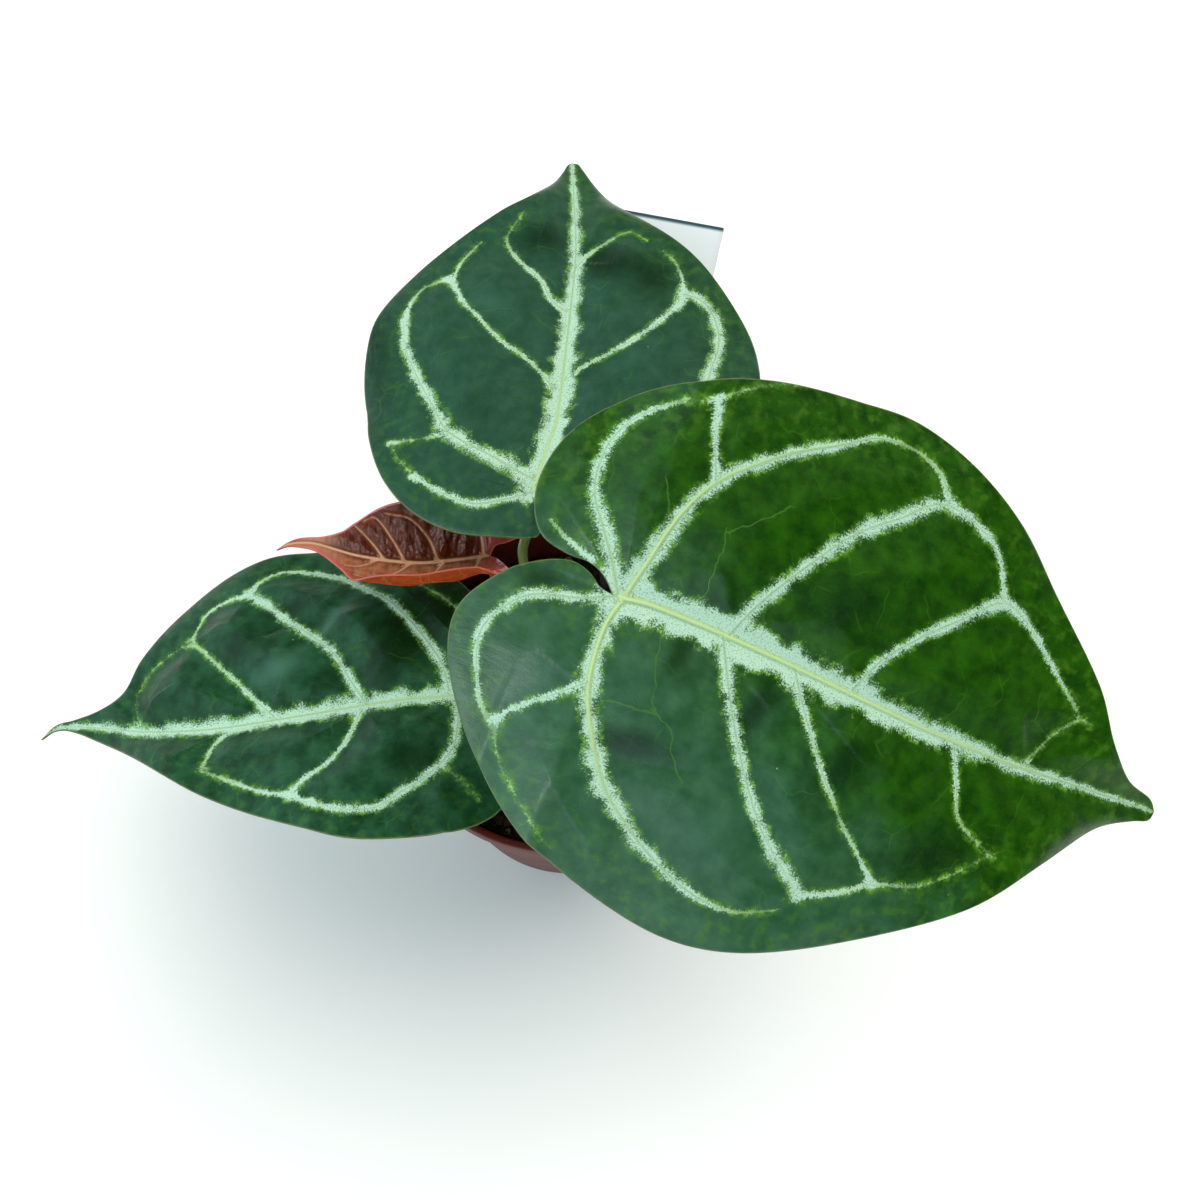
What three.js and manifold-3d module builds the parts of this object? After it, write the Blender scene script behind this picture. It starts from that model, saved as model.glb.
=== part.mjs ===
// Potted silver blush anthurium: four leaves on stalks, a short crown, bark soil, a nursery pot and a
// blank plant label. Millimetres, +Z up. The origin is the centre of the pot's flat base.
import * as THREE from 'three';
import { mergeVertices } from 'three/addons/utils/BufferGeometryUtils.js';
import Module from 'manifold-3d';

const wasm = await Module();
wasm.setup();

// Driving dimensions. GAP is the room between touching pieces.
const GAP = 0.3;
const BLADE_THICKNESS = 0.8;
const POT = {
  height: 100, baseRadius: 42, wallTopRadius: 58.4, rimRadius: 60.2, rimDrop: 5.2, rimWidth: 2,
  shoulder: 4, wall: 1.6, floor: 2.2, edge: 0.7, sides: 64, holeRadius: 4.5, holeCircle: 27, holes: 5,
};
const SOIL = { top: 88, bump: 1.6, rings: 8, sides: 48, wideLumps: [0.31, 0.27], smallLumps: [0.73, 0.61] };
const CROWN = { radius: 8, bottom: 64, top: 96, taper: 5, footShare: 0.6, sides: 20 };

// A lobe flattens out over LOBE_FADE behind the stalk. The waves of a blade's two edges are out of
// step by HALF_PHASE. The first rays of a half run beside the lobe's inner edge and count as near it.
const LOBE_FADE = 20;
const HALF_PHASE = 2;
const INNER_SHARE = 0.125;
const INNER_RISE = 3;

// Helpers for curves
const point2 = ([x, y]) => new THREE.Vector3(x, y, 0);
const vector = ([x, y, z]) => new THREE.Vector3(x, y, z);
const mix = (a, b, t) => a + (b - a) * t;

function smoothCurve(points) {
  const curve = new THREE.CatmullRomCurve3(points.map(point2), false, 'centripetal');
  curve.arcLengthDivisions = 800;
  return curve;
}

// A smooth height through a few [place, height] knots.
function throughKnots(knots, x) {
  const last = knots.length - 1;
  if (x <= knots[0][0]) return knots[0][1];
  if (x >= knots[last][0]) return knots[last][1];
  const i = knots.findIndex((knot) => knot[0] > x) - 1;
  const slope = (k) => {
    const a = knots[Math.max(k - 1, 0)];
    const b = knots[Math.min(k + 1, last)];
    return (b[1] - a[1]) / (b[0] - a[0]);
  };
  const span = knots[i + 1][0] - knots[i][0];
  const t = (x - knots[i][0]) / span;
  const rise = knots[i + 1][1] - knots[i][1];
  const m0 = slope(i) * span;
  const m1 = slope(i + 1) * span;
  return knots[i][1] + t * (m0 + t * (3 * rise - 2 * m0 - m1 + t * (m0 + m1 - 2 * rise)));
}

// Each leaf is drawn flat first: x runs from the stalk to the tip, y across from the midrib.
// It is then bent: droop curls it along the midrib, and each half leaves the midrib at the angle
// rise (at the stalk and at the tip) and curls down by curl radians for each millimetre.
const LEAVES = {
  leaf_front: {
    attach: [18.5, -16, 203], along: [0.93, -0.30, -0.215], up: [0.12, -0.42, 0.9],
    length: 184.5, droop: 0.002, lobeDroop: 0.004,
    left: { rise: [0.18, 0.18], curl: 0.005 }, right: { rise: [0.18, 0.18], curl: 0.005 },
    midrib: [[0, 0], [10, 1.2], [42, 0.4], [95, -2.8], [125, -3], [153, -1.6], [184.5, 0]],
    leftEdge: [[-2, 0], [-6, 3.8], [-11, 5.9], [-18, 6.1], [-27, 9], [-32.6, 20], [-30, 38.5], [-16, 56],
      [15, 69.5], [44, 77], [64, 79], [101.5, 66.2], [122, 50.6], [145, 30], [157, 15.6], [169, 6.6],
      [181, 3.2], [184.5, 0]],
    rightEdge: [[-2, 0], [-6, 0.8], [-10, 3.4], [-15.5, 4.7], [-23, 2.4], [-32, -4.2], [-41, -18],
      [-39.5, -31], [-23, -54.6], [4.6, -74.4], [31, -83.5], [52, -83.8], [85, -72], [127, -44.8],
      [147, -25.4], [165, -9.8], [177, -4.8], [183, -3], [184.5, 0]],
    leftBack: 0.085, rightBack: 0.14, fan: 0.36, rays: 30, steps: 9,
    quilt: 2.2, spread: 11, wave: 1.6, wavelength: 74, phase: 0.6,
    veins: [[[0, 0], [-11, 16], [-18, 30], [-18, 41], [-2, 58]],
      [[1, 0], [7, 26], [23, 48], [42, 62], [64, 71], [77, 63]],
      [[32, 0], [48, 31], [76, 60], [97, 55]], [[71, 0], [84, 23], [105, 42], [141, 21]],
      [[0, 0], [-23, -8], [-32, -22], [-21, -44]], [[0, 0], [0, -24], [14, -51], [48, -69.5], [73, -64]],
      [[30, 0], [49, -32.5], [77, -58]], [[53, 0], [70, -23], [97, -47]], [[107, 0], [116, -21], [129, -27]]],
  },
  leaf_back: {
    attach: [-8.6, 44.7, 154], along: [0.07, 0.995, 0.03], up: [0, -0.03, 1],
    length: 160.2, droop: 0.0022, lobeDroop: 0.004,
    left: { rise: [0.2, 0.2], curl: 0.0065 }, right: { rise: [0.2, 0.2], curl: 0.0065 },
    midrib: [[0, 0], [17, -3.2], [28, -5.4], [85, -6.2], [107, -5.6], [132, -3], [160.2, 0]],
    leftEdge: [[-2, 0], [-6, -2], [-10, -3.2], [-13.4, -1.5], [-16.3, 8], [-15.6, 26], [-7, 42.4],
      [15, 58.8], [34, 66.4], [53, 67.8], [68, 66], [91, 55.4], [119, 28.4], [138, 10.8], [149, 4.8],
      [158, 3.2], [160.2, 0]],
    rightEdge: [[-2, 0], [-6, -4.2], [-11, -6.4], [-16, -13], [-18, -25], [-14, -39], [-4, -51], [12, -60],
      [30, -65.6], [55, -66.6], [71, -63.1], [95, -47.6], [125, -22], [145, -7.6], [154, -5],
      [159, -3.6], [160.2, 0]],
    leftBack: 0.07, rightBack: 0.09, fan: 0.3, rays: 26, steps: 8,
    quilt: 2.6, spread: 10, wave: 1.8, wavelength: 66, phase: 2.2,
    veins: [[[74, 0], [86, 11], [106, 25]], [[40, 0], [57, 22.5], [85, 45]],
      [[4, 0], [11, 17], [20, 35], [52, 54.5], [80, 52]], [[0, 0], [-6.5, 18], [1, 39], [14, 51]],
      [[92, 0], [103, -6], [113, -19]], [[44, 0], [63, -25], [84, -39]], [[84, -39], [60, -52], [44, -48]],
      [[4, 0], [12, -20], [26, -38], [44, -48]], [[0, 0], [-7, -18], [2, -40]]],
  },
  leaf_left: {
    attach: [-33.7, -16.3, 127.7], along: [-0.975, 0, -0.16], up: [-0.1, 0.12, 1],
    length: 156, droop: 0.0016, lobeDroop: 0.004,
    left: { rise: [0.2, 0.2], curl: 0.0065 }, right: { rise: [0.2, 0.2], curl: 0.0065 },
    midrib: [[0, 0], [18, 0], [52, 2.6], [80, 3.8], [97, 2.9], [113, 0.7], [130, -3.3], [144, -6.1],
      [151, -6.1], [156, -3.5]],
    leftEdge: [[-2, 0], [-8, 1.2], [-14, 5], [-20, 15], [-21.5, 28], [-16, 39.5], [-5, 46.2], [10, 48.6],
      [29, 47.6], [47, 41], [83, 25.3], [114, 9.9], [129, 5.2], [142, 2], [150, 0.8], [156, 0]],
    rightEdge: [[-2, 0], [-8, -1], [-13, -8], [-13, -22], [-4, -38], [11, -50], [26, -59], [43, -65.8],
      [58, -67.4], [73, -66.6], [91, -58.6], [107, -43.4], [117, -27], [122, -13.6], [131, -6], [142, -2.3],
      [150, -1.5], [156, 0]],
    leftBack: 0.09, rightBack: 0.07, fan: 0.28, rays: 28, steps: 8,
    quilt: 3.6, spread: 9, wave: 1.4, wavelength: 60, phase: 4.0,
    veins: [[[2, 0], [11, -21], [24, -37], [44, -52], [66, -58], [78, -50]],
      [[30, 0], [42, -20], [60, -36], [78, -50]], [[62, 0], [78, -17], [98, -32]],
      [[0, 0], [-1.5, 19], [7, 29.5], [22, 38.5], [51, 30.5]], [[31, 0], [35, 15], [51, 30.5]],
      [[51, 30.5], [85, 16]], [[98, -32], [112, -22], [116, -11]]],
  },
  leaf_young: {
    attach: [-24.2, 29.5, 138], along: [-0.985, 0.03, -0.06], up: [0, 0, 1],
    length: 71, droop: 0.0002, lobeDroop: 0.004,
    left: { rise: [0.1, -0.1], curl: -0.075 }, right: { rise: [0.5, 0.45], curl: -0.02 },
    midrib: [[0, 0], [10, 1.5], [24, 2.6], [43, -0.1], [58, -4.7], [63.5, -5.1], [67.5, -4.5], [71, -2.5]],
    leftEdge: [[-1, 0], [-5, 2.5], [-8.5, 7], [-9, 13], [-4, 19.5], [6, 22.8], [16, 23.6], [25, 24],
      [33, 22.2], [39, 18.5], [43, 13], [47, 8], [52, 5], [57, 3], [64, 1.6], [71, 0]],
    rightEdge: [[-1, 0], [-3, -3.4], [-7, -4.6], [-12, -8], [-11, -14], [-3, -19.5], [9, -23], [20, -22.5],
      [33, -18.4], [43.5, -11], [49, -6.4], [57, -2.4], [64, -1.4], [71, 0]],
    leftBack: 0.1, rightBack: 0.13, fan: 0.3, rays: 22, steps: 9,
    quilt: 0.5, spread: 4, wave: 0.4, wavelength: 30, phase: 1,
    veins: [[[34, 0], [45, -11]], [[27, 0], [37, -14]], [[16, 0], [30, -16]], [[1, 0], [5, -18]]],
  },
};

const COLOURS = {
  leaf_front: 0x2f5a34, leaf_back: 0x2c5638, leaf_left: 0x254d30, leaf_young: 0x7a3424,
  stalk: 0x8a8f3c, crown: 0x5f6a32, sheath: 0x80603c, soil: 0x17120d, pot: 0x7a3524, label: 0xe6f2f2,
};
const ROUGHNESS = { leaf: 0.35, stalk: 0.45, sheath: 0.8, soil: 0.95, pot: 0.4, label: 0.4 };

function distanceToPath(path, x, y) {
  let nearest = Infinity;
  for (let i = 1; i < path.length; i += 1) {
    const [ax, ay] = path[i - 1];
    const [bx, by] = path[i];
    const length2 = (bx - ax) ** 2 + (by - ay) ** 2;
    const t = THREE.MathUtils.clamp(((x - ax) * (bx - ax) + (y - ay) * (by - ay)) / length2, 0, 1);
    nearest = Math.min(nearest, Math.hypot(x - mix(ax, bx, t), y - mix(ay, by, t)));
  }
  return nearest;
}

// The blade bulges between its sunken veins, and its edge waves. Out is 0 at the midrib and 1 at the edge.
function relief(leaf, x, y, out) {
  const midrib = [[0, 0], [leaf.length, 0]];
  const near = Math.min(...[midrib, ...leaf.veins].map((path) => distanceToPath(path, x, y)));
  const bulge = leaf.quilt * (1 - Math.exp(-((near / leaf.spread) ** 2))) * (1 - out ** 4);
  const turn = (2 * Math.PI * x) / leaf.wavelength + leaf.phase + THREE.MathUtils.clamp(-y, 0, HALF_PHASE);
  return bulge + leaf.wave * Math.sin(turn) * out ** 2;
}

// A flat leaf's point, bent into place. Height stands off the blade's middle layer.
function bend(leaf, x, y, height) {
  const along = vector(leaf.along).normalize();
  const up = vector(leaf.up);
  up.addScaledVector(along, -up.dot(along)).normalize();
  const across = new THREE.Vector3().crossVectors(up, along);
  const half = y >= 0 ? leaf.left : leaf.right;
  const side = y >= 0 ? 1 : -1;
  const droop = x >= 0 ? leaf.droop : leaf.lobeDroop;
  const angle = droop * x;
  const upHere = up.clone().multiplyScalar(Math.cos(angle)).addScaledVector(along, Math.sin(angle));
  const lobeFade = THREE.MathUtils.clamp(1 + x / LOBE_FADE, 0, 1);
  const rise = mix(half.rise[0], half.rise[1], THREE.MathUtils.clamp(x / leaf.length, 0, 1)) * lobeFade;
  const tilt = rise - half.curl * Math.abs(y);
  const sideways = (Math.sin(rise) - Math.sin(tilt)) / half.curl;
  const lift = (Math.cos(tilt) - Math.cos(rise)) / half.curl;
  const lean = Math.min(1, Math.abs(y)) * Math.sin(tilt) * height;
  const offset = side * (sideways - lean) + throughKnots(leaf.midrib, x);
  return vector(leaf.attach)
    .addScaledVector(along, Math.sin(angle) / droop)
    .addScaledVector(up, (Math.cos(angle) - 1) / droop)
    .addScaledVector(across, offset)
    .addScaledVector(upHere, lift + Math.cos(tilt) * height);
}

// One half of a blade as rays from the midrib to the edge. The first ray is the lobe's inner edge, and
// the rays of the lobe fan out from the stalk.
function halfGrid(leaf, edge, back) {
  const curve = smoothCurve(edge);
  const start = curve.getPointAt(0);
  const chordEnd = curve.getPointAt(back);
  const grid = [];
  for (let j = 0; j <= leaf.rays; j += 1) {
    const part = j / leaf.rays;
    const end = curve.getPointAt(mix(back, 1, part));
    const down = Math.max(0, (part - leaf.fan) / (1 - leaf.fan));
    const root = new THREE.Vector3(mix(start.x, leaf.length, down), 0, 0);
    const pull = Math.max(0, 1 - part / leaf.fan) ** 2;
    const besideLobe = Math.max(0, 1 - part / INNER_SHARE);
    const ray = [];
    for (let i = 0; i <= leaf.steps; i += 1) {
      const out = i / leaf.steps;
      const chord = start.clone().lerp(chordEnd, out);
      const place = root.clone().lerp(end, out);
      place.addScaledVector(curve.getPointAt(back * out).sub(chord), pull);
      const nearEdge = Math.max(out, besideLobe * Math.min(1, INNER_RISE * out));
      ray.push([place.x, place.y, part < 1 ? nearEdge : 1]);
    }
    grid.push(ray);
  }
  return grid;
}

// A closed body of triangles. Corners at the same place are merged, and flat triangles are dropped.
class Body {
  constructor() {
    this.positions = [];
    this.ids = new Map();
    this.triangles = [];
  }

  corner(point) {
    const key = [point.x, point.y, point.z].map((value) => value.toFixed(3)).join(' ');
    if (!this.ids.has(key)) {
      this.ids.set(key, this.positions.length / 3);
      this.positions.push(point.x, point.y, point.z);
    }
    return this.ids.get(key);
  }

  triangle(a, b, c) {
    const ids = [a, b, c].map((point) => this.corner(point));
    if (new Set(ids).size === 3) this.triangles.push(...ids);
  }

  quad(a, b, c, d) {
    this.triangle(a, b, c);
    this.triangle(a, c, d);
  }

  geometry() {
    const geometry = new THREE.BufferGeometry();
    geometry.setAttribute('position', new THREE.Float32BufferAttribute(this.positions, 3));
    geometry.setIndex(this.triangles);
    geometry.computeVertexNormals();
    return geometry;
  }
}

// A blade is two matching sheets, split into triangles alike, and the walls between them.
function bladeGeometry(leaf, thickness) {
  const body = new Body();
  for (const side of [1, -1]) {
    const edge = side > 0 ? leaf.leftEdge : leaf.rightEdge;
    const back = side > 0 ? leaf.leftBack : leaf.rightBack;
    const sheet = (height) => halfGrid(leaf, edge, back).map((ray) => ray.map(
      ([x, y, out]) => bend(leaf, x, y, relief(leaf, x, y, out) + height),
    ));
    const top = sheet(thickness / 2);
    const under = sheet(-thickness / 2);
    const quad = (a, b, c, d) => (side > 0 ? body.quad(a, b, c, d) : body.quad(d, c, b, a));
    for (let j = 0; j < leaf.rays; j += 1) {
      for (let i = 0; i < leaf.steps; i += 1) {
        quad(top[j][i], top[j + 1][i], top[j + 1][i + 1], top[j][i + 1]);
        quad(under[j][i + 1], under[j + 1][i + 1], under[j + 1][i], under[j][i]);
      }
      const last = leaf.steps;
      quad(top[j][last], top[j + 1][last], under[j + 1][last], under[j][last]);
    }
    for (let i = 0; i < leaf.steps; i += 1) quad(top[0][i], top[0][i + 1], under[0][i + 1], under[0][i]);
  }
  return body.geometry();
}

// A round stalk along a smooth path, with its radius through a few knots from 0 at the root to 1.
function stalkGeometry(points, radii, sides = 10, steps = 16) {
  const curve = new THREE.CatmullRomCurve3(points.map(vector), false, 'centripetal');
  const frames = curve.computeFrenetFrames(steps, false);
  const body = new Body();
  const rings = [];
  for (let i = 0; i <= steps; i += 1) {
    const centre = curve.getPointAt(i / steps);
    const radius = throughKnots(radii, i / steps);
    const ring = [];
    for (let k = 0; k < sides; k += 1) {
      const turn = (2 * Math.PI * k) / sides;
      ring.push(centre.clone()
        .addScaledVector(frames.normals[i], radius * Math.cos(turn))
        .addScaledVector(frames.binormals[i], radius * Math.sin(turn)));
    }
    rings.push(ring);
  }
  for (let k = 0; k < sides; k += 1) {
    const next = (k + 1) % sides;
    for (let i = 0; i < steps; i += 1) {
      body.quad(rings[i][k], rings[i][next], rings[i + 1][next], rings[i + 1][k]);
    }
    body.triangle(curve.getPointAt(0), rings[0][next], rings[0][k]);
    body.triangle(curve.getPointAt(1), rings[steps][k], rings[steps][next]);
  }
  return body.geometry();
}

// A stalk stands upright on the crown, comes up to its leaf from below and ends a hair under the blade.
const STALK_SEAT = { gap: 0.36, along: 1.5, approach: 9, upright: 4 };
function stalkPath(leafName, points) {
  const blade = LEAVES[leafName];
  const under = -BLADE_THICKNESS / 2;
  const end = bend(blade, STALK_SEAT.along, 0, under - STALK_SEAT.gap);
  const below = bend(blade, 0, 0, under - STALK_SEAT.approach);
  const [root, ...rest] = points;
  const upright = [root[0], root[1], root[2] + STALK_SEAT.upright];
  return [root, upright, ...rest, below.toArray(), end.toArray()];
}

const STALK_RADII = [[0, 2.3], [0.12, 1.9], [0.5, 1.7], [0.86, 1.8], [0.94, 2.3], [1, 1.9]];
const YOUNG_RADII = [[0, 2], [0.12, 1.6], [0.5, 1.4], [0.86, 1.4], [0.94, 1.7], [1, 1.4]];
const STALKS = {
  stalk_front: {
    leaf: 'leaf_front', radii: STALK_RADII,
    points: [[5.2, -2, 96.5], [8, -2, 118], [12.5, -4, 150], [16.5, -7, 176]],
  },
  stalk_back: {
    leaf: 'leaf_back', radii: STALK_RADII,
    points: [[0.8, 5.2, 96.5], [-3.5, 17, 106], [-11, 31, 113], [-13.4, 38.5, 122], [-11, 41.5, 134]],
  },
  stalk_left: {
    leaf: 'leaf_left', radii: STALK_RADII, points: [[-5.2, -2.4, 96.5], [-10.5, -6, 107], [-20, -11, 114]],
  },
  stalk_young: {
    leaf: 'leaf_young', radii: YOUNG_RADII, points: [[-3.8, 3, 96.5], [-9.5, 10, 106.5], [-18.5, 21, 115]],
  },
};

// Two dry sheaths stand beside the stalks, each a small cupped blade.
const SHEATH = {
  length: 34, droop: 0.006, lobeDroop: 0.006,
  left: { rise: [0.5, 0.2], curl: -0.12 }, right: { rise: [0.5, 0.2], curl: -0.12 },
  midrib: [[0, 0], [34, 0]],
  leftEdge: [[0, 0], [0.6, 2], [3, 3.4], [14, 3.3], [26, 1.8], [34, 0]],
  rightEdge: [[0, 0], [0.6, -2], [3, -3.4], [14, -3.3], [26, -1.8], [34, 0]],
  leftBack: 0.08, rightBack: 0.08, fan: 0.15, rays: 9, steps: 3,
  quilt: 0, spread: 1, wave: 0.3, wavelength: 18, phase: 0, veins: [],
};
const SHEATHS = {
  sheath_front: { ...SHEATH, attach: [-0.6, -6.2, 96.9], along: [-0.05, -0.4, 0.9], up: [0, 0.9, 0.4] },
  sheath_right: { ...SHEATH, attach: [6, 3.3, 96.9], along: [0.35, 0.22, 0.9], up: [-0.75, -0.5, 0.45] },
};

// The crown is the short stem that carries the stalks, with its foot in the soil.
function crownGeometry(grow = 0) {
  const { radius, bottom, top, taper, footShare, sides } = CROWN;
  const profile = [
    [0, bottom - grow], [radius * footShare + grow, bottom - grow], [radius + grow, bottom + taper],
    [radius + grow, top - taper], [radius - 0.4 + grow, top - 1.2 + grow],
    [radius - 1.4 + grow, top + grow], [0, top + grow],
  ];
  const shape = new THREE.LatheGeometry(profile.map(([r, z]) => new THREE.Vector2(r, z)), sides);
  return shape.rotateX(Math.PI / 2);
}

function solidOf(geometry) {
  const bare = geometry.clone();
  bare.deleteAttribute('normal');
  bare.deleteAttribute('uv');
  const merged = mergeVertices(bare, 1e-4);
  const index = merged.getIndex().array;
  const triVerts = [];
  for (let i = 0; i < index.length; i += 3) {
    const face = [index[i], index[i + 1], index[i + 2]];
    if (new Set(face).size === 3) triVerts.push(...face);
  }
  return new wasm.Manifold(new wasm.Mesh({
    numProp: 3, vertProperties: merged.getAttribute('position').array, triVerts: Uint32Array.from(triVerts),
  }));
}

function geometryOf(solid) {
  const mesh = solid.getMesh();
  const geometry = new THREE.BufferGeometry();
  geometry.setAttribute('position', new THREE.Float32BufferAttribute(mesh.vertProperties, 3));
  geometry.setIndex(Array.from(mesh.triVerts));
  geometry.computeVertexNormals();
  return geometry;
}

const wallRadius = (z) => mix(POT.baseRadius, POT.wallTopRadius, z / POT.height);

function potGeometry() {
  const { height, rimRadius, rimDrop, rimWidth, shoulder, wall, floor, edge, sides } = POT;
  const groove = height - rimDrop;
  const profile = [
    [0, floor], [wallRadius(floor) - wall, floor], [wallRadius(height) - wall, height - shoulder],
    [rimRadius - rimWidth - edge / 2, height - edge], [rimRadius - rimWidth, height],
    [rimRadius - edge, height],
    [rimRadius, height - edge], [rimRadius, groove + edge], [rimRadius - edge, groove],
    [wallRadius(groove) + 0.1, groove], [wallRadius(edge), edge], [wallRadius(0) - edge, 0], [0, 0],
  ];
  const lathe = new THREE.LatheGeometry(profile.map(([r, z]) => new THREE.Vector2(r, z)).reverse(), sides);
  let solid = solidOf(lathe.rotateX(Math.PI / 2));
  for (let k = 0; k < POT.holes; k += 1) {
    const turn = (2 * Math.PI * (k + 0.5)) / POT.holes;
    const drill = new THREE.CylinderGeometry(POT.holeRadius, POT.holeRadius, floor * 4, 16);
    drill.rotateX(Math.PI / 2).translate(POT.holeCircle * Math.cos(turn), POT.holeCircle * Math.sin(turn), 0);
    solid = solid.subtract(solidOf(drill));
  }
  return geometryOf(solid);
}

// The label is a card on a thin stem. It bends over the back of the rim and leans far back under
// the back leaf. Each station is [distance from the top edge, height, half width, shift to the right].
const LABEL = {
  topCentre: [38.3, 175.8], back: [0.224, 0.9746], thickness: 0.8,
  stations: [
    [0, 131, 22, 0], [76, 112.1, 22, 0], [82, 110.6, 20, 0.5], [88, 109.1, 6, 1.5], [112, 103.3, 5, 6],
    [118, 101.8, 5, 7.2], [124, 100.8, 5, 8.2], [128, 98.4, 5, 8.8], [133, 92.5, 5, 9.5],
    [140, 82, 4, 10.5], [146, 72, 1.5, 11.2],
  ],
};

function labelGeometry(grow = 0) {
  const back = new THREE.Vector3(LABEL.back[0], LABEL.back[1], 0).normalize();
  const across = new THREE.Vector3(back.y, -back.x, 0);
  const top = new THREE.Vector3(LABEL.topCentre[0], LABEL.topCentre[1], 0);
  const centres = LABEL.stations.map(([distance, z, , shift]) => (
    top.clone().addScaledVector(back, -distance).addScaledVector(across, shift).setZ(z)));
  const body = new Body();
  const sections = centres.map((centre, i) => {
    const last = centres.length - 1;
    const run = centres[Math.min(i + 1, last)].clone().sub(centres[Math.max(i - 1, 0)]).normalize();
    const normal = new THREE.Vector3().crossVectors(across, run).normalize();
    const half = LABEL.stations[i][2] + grow;
    const thick = LABEL.thickness / 2 + grow;
    const at = (w, h) => centre.clone().addScaledVector(across, w * half).addScaledVector(normal, h * thick);
    return [at(-1, -1), at(1, -1), at(1, 1), at(-1, 1)];
  });
  for (let i = 1; i < sections.length; i += 1) {
    for (let k = 0; k < 4; k += 1) {
      const next = (k + 1) % 4;
      body.quad(sections[i][k], sections[i][next], sections[i - 1][next], sections[i - 1][k]);
    }
  }
  const end = sections[sections.length - 1];
  body.quad(...sections[0]);
  body.quad(...end.slice().reverse());
  return body.geometry();
}

// The soil fills the pot up to a lumpy top, with plain holes for the crown and the label.
function soilGeometry() {
  const { top, bump, rings, sides, wideLumps, smallLumps } = SOIL;
  const inner = (z) => wallRadius(z) - POT.wall - GAP;
  const body = new Body();
  const bottom = POT.floor + GAP;
  const lump = (x, y) => {
    const wide = Math.sin(x * wideLumps[0] + 1) * Math.cos(y * wideLumps[1]);
    return bump * (wide + 0.5 * Math.sin(x * smallLumps[0] - y * smallLumps[1]));
  };
  const ring = (radius, z, lumpy) => Array.from({ length: sides }, (_, k) => {
    const turn = (2 * Math.PI * k) / sides;
    const [x, y] = [radius * Math.cos(turn), radius * Math.sin(turn)];
    const edgeFade = (1 - radius / inner(top)) ** 0.3;
    return new THREE.Vector3(x, y, z + (lumpy ? lump(x, y) * edgeFade : 0));
  });
  const levels = [ring(inner(bottom), bottom, false), ring(inner(top), top, false)];
  for (let i = rings - 1; i > 0; i -= 1) levels.push(ring((inner(top) * i) / rings, top, true));
  const foot = new THREE.Vector3(0, 0, bottom);
  const peak = new THREE.Vector3(0, 0, top);
  for (let k = 0; k < sides; k += 1) {
    const next = (k + 1) % sides;
    body.triangle(foot, levels[0][next], levels[0][k]);
    for (let i = 1; i < levels.length; i += 1) {
      body.quad(levels[i - 1][k], levels[i - 1][next], levels[i][next], levels[i][k]);
    }
    body.triangle(levels[levels.length - 1][k], levels[levels.length - 1][next], peak);
  }
  return geometryOf(solidOf(body.geometry()).subtract(solidOf(crownGeometry(GAP)))
    .subtract(solidOf(labelGeometry(GAP))));
}

const plant = new THREE.Group();

function add(name, geometry, color, roughness) {
  const material = new THREE.MeshStandardMaterial({ color, roughness, metalness: 0 });
  const mesh = new THREE.Mesh(geometry, material);
  mesh.name = name;
  plant.add(mesh);
}

add('pot', potGeometry(), COLOURS.pot, ROUGHNESS.pot);
add('soil', soilGeometry(), COLOURS.soil, ROUGHNESS.soil);
add('crown', geometryOf(solidOf(crownGeometry())), COLOURS.crown, ROUGHNESS.stalk);
add('label', labelGeometry(), COLOURS.label, ROUGHNESS.label);
for (const [name, { leaf, points, radii }] of Object.entries(STALKS)) {
  add(name, stalkGeometry(stalkPath(leaf, points), radii), COLOURS.stalk, ROUGHNESS.stalk);
}
for (const [name, sheath] of Object.entries(SHEATHS)) {
  add(name, bladeGeometry(sheath, BLADE_THICKNESS), COLOURS.sheath, ROUGHNESS.sheath);
}
for (const [name, leaf] of Object.entries(LEAVES)) {
  add(name, bladeGeometry(leaf, BLADE_THICKNESS), COLOURS[name], ROUGHNESS.leaf);
}

export default plant;
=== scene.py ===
# The looks of the potted silver blush anthurium. Metres, +Z up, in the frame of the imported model.
# The outlines and sizes below are in millimetres, as in the model's own source.
import math
import random

import bmesh
import bpy
import numpy as np
from mathutils import Euler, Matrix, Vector, noise


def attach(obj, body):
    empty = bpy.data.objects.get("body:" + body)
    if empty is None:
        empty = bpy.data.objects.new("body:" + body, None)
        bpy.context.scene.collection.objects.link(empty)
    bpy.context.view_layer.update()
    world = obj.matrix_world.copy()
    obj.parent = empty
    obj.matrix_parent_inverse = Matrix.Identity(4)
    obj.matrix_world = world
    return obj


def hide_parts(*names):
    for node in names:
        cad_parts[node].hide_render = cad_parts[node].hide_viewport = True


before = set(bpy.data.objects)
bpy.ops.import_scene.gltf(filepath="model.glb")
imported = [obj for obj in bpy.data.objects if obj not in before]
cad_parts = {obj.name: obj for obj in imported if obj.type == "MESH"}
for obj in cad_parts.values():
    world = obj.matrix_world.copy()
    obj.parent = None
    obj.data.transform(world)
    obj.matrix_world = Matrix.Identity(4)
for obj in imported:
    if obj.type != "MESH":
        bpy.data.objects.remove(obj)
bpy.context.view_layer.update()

MM = 0.001
RANDOM_SEED = 11

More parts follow.
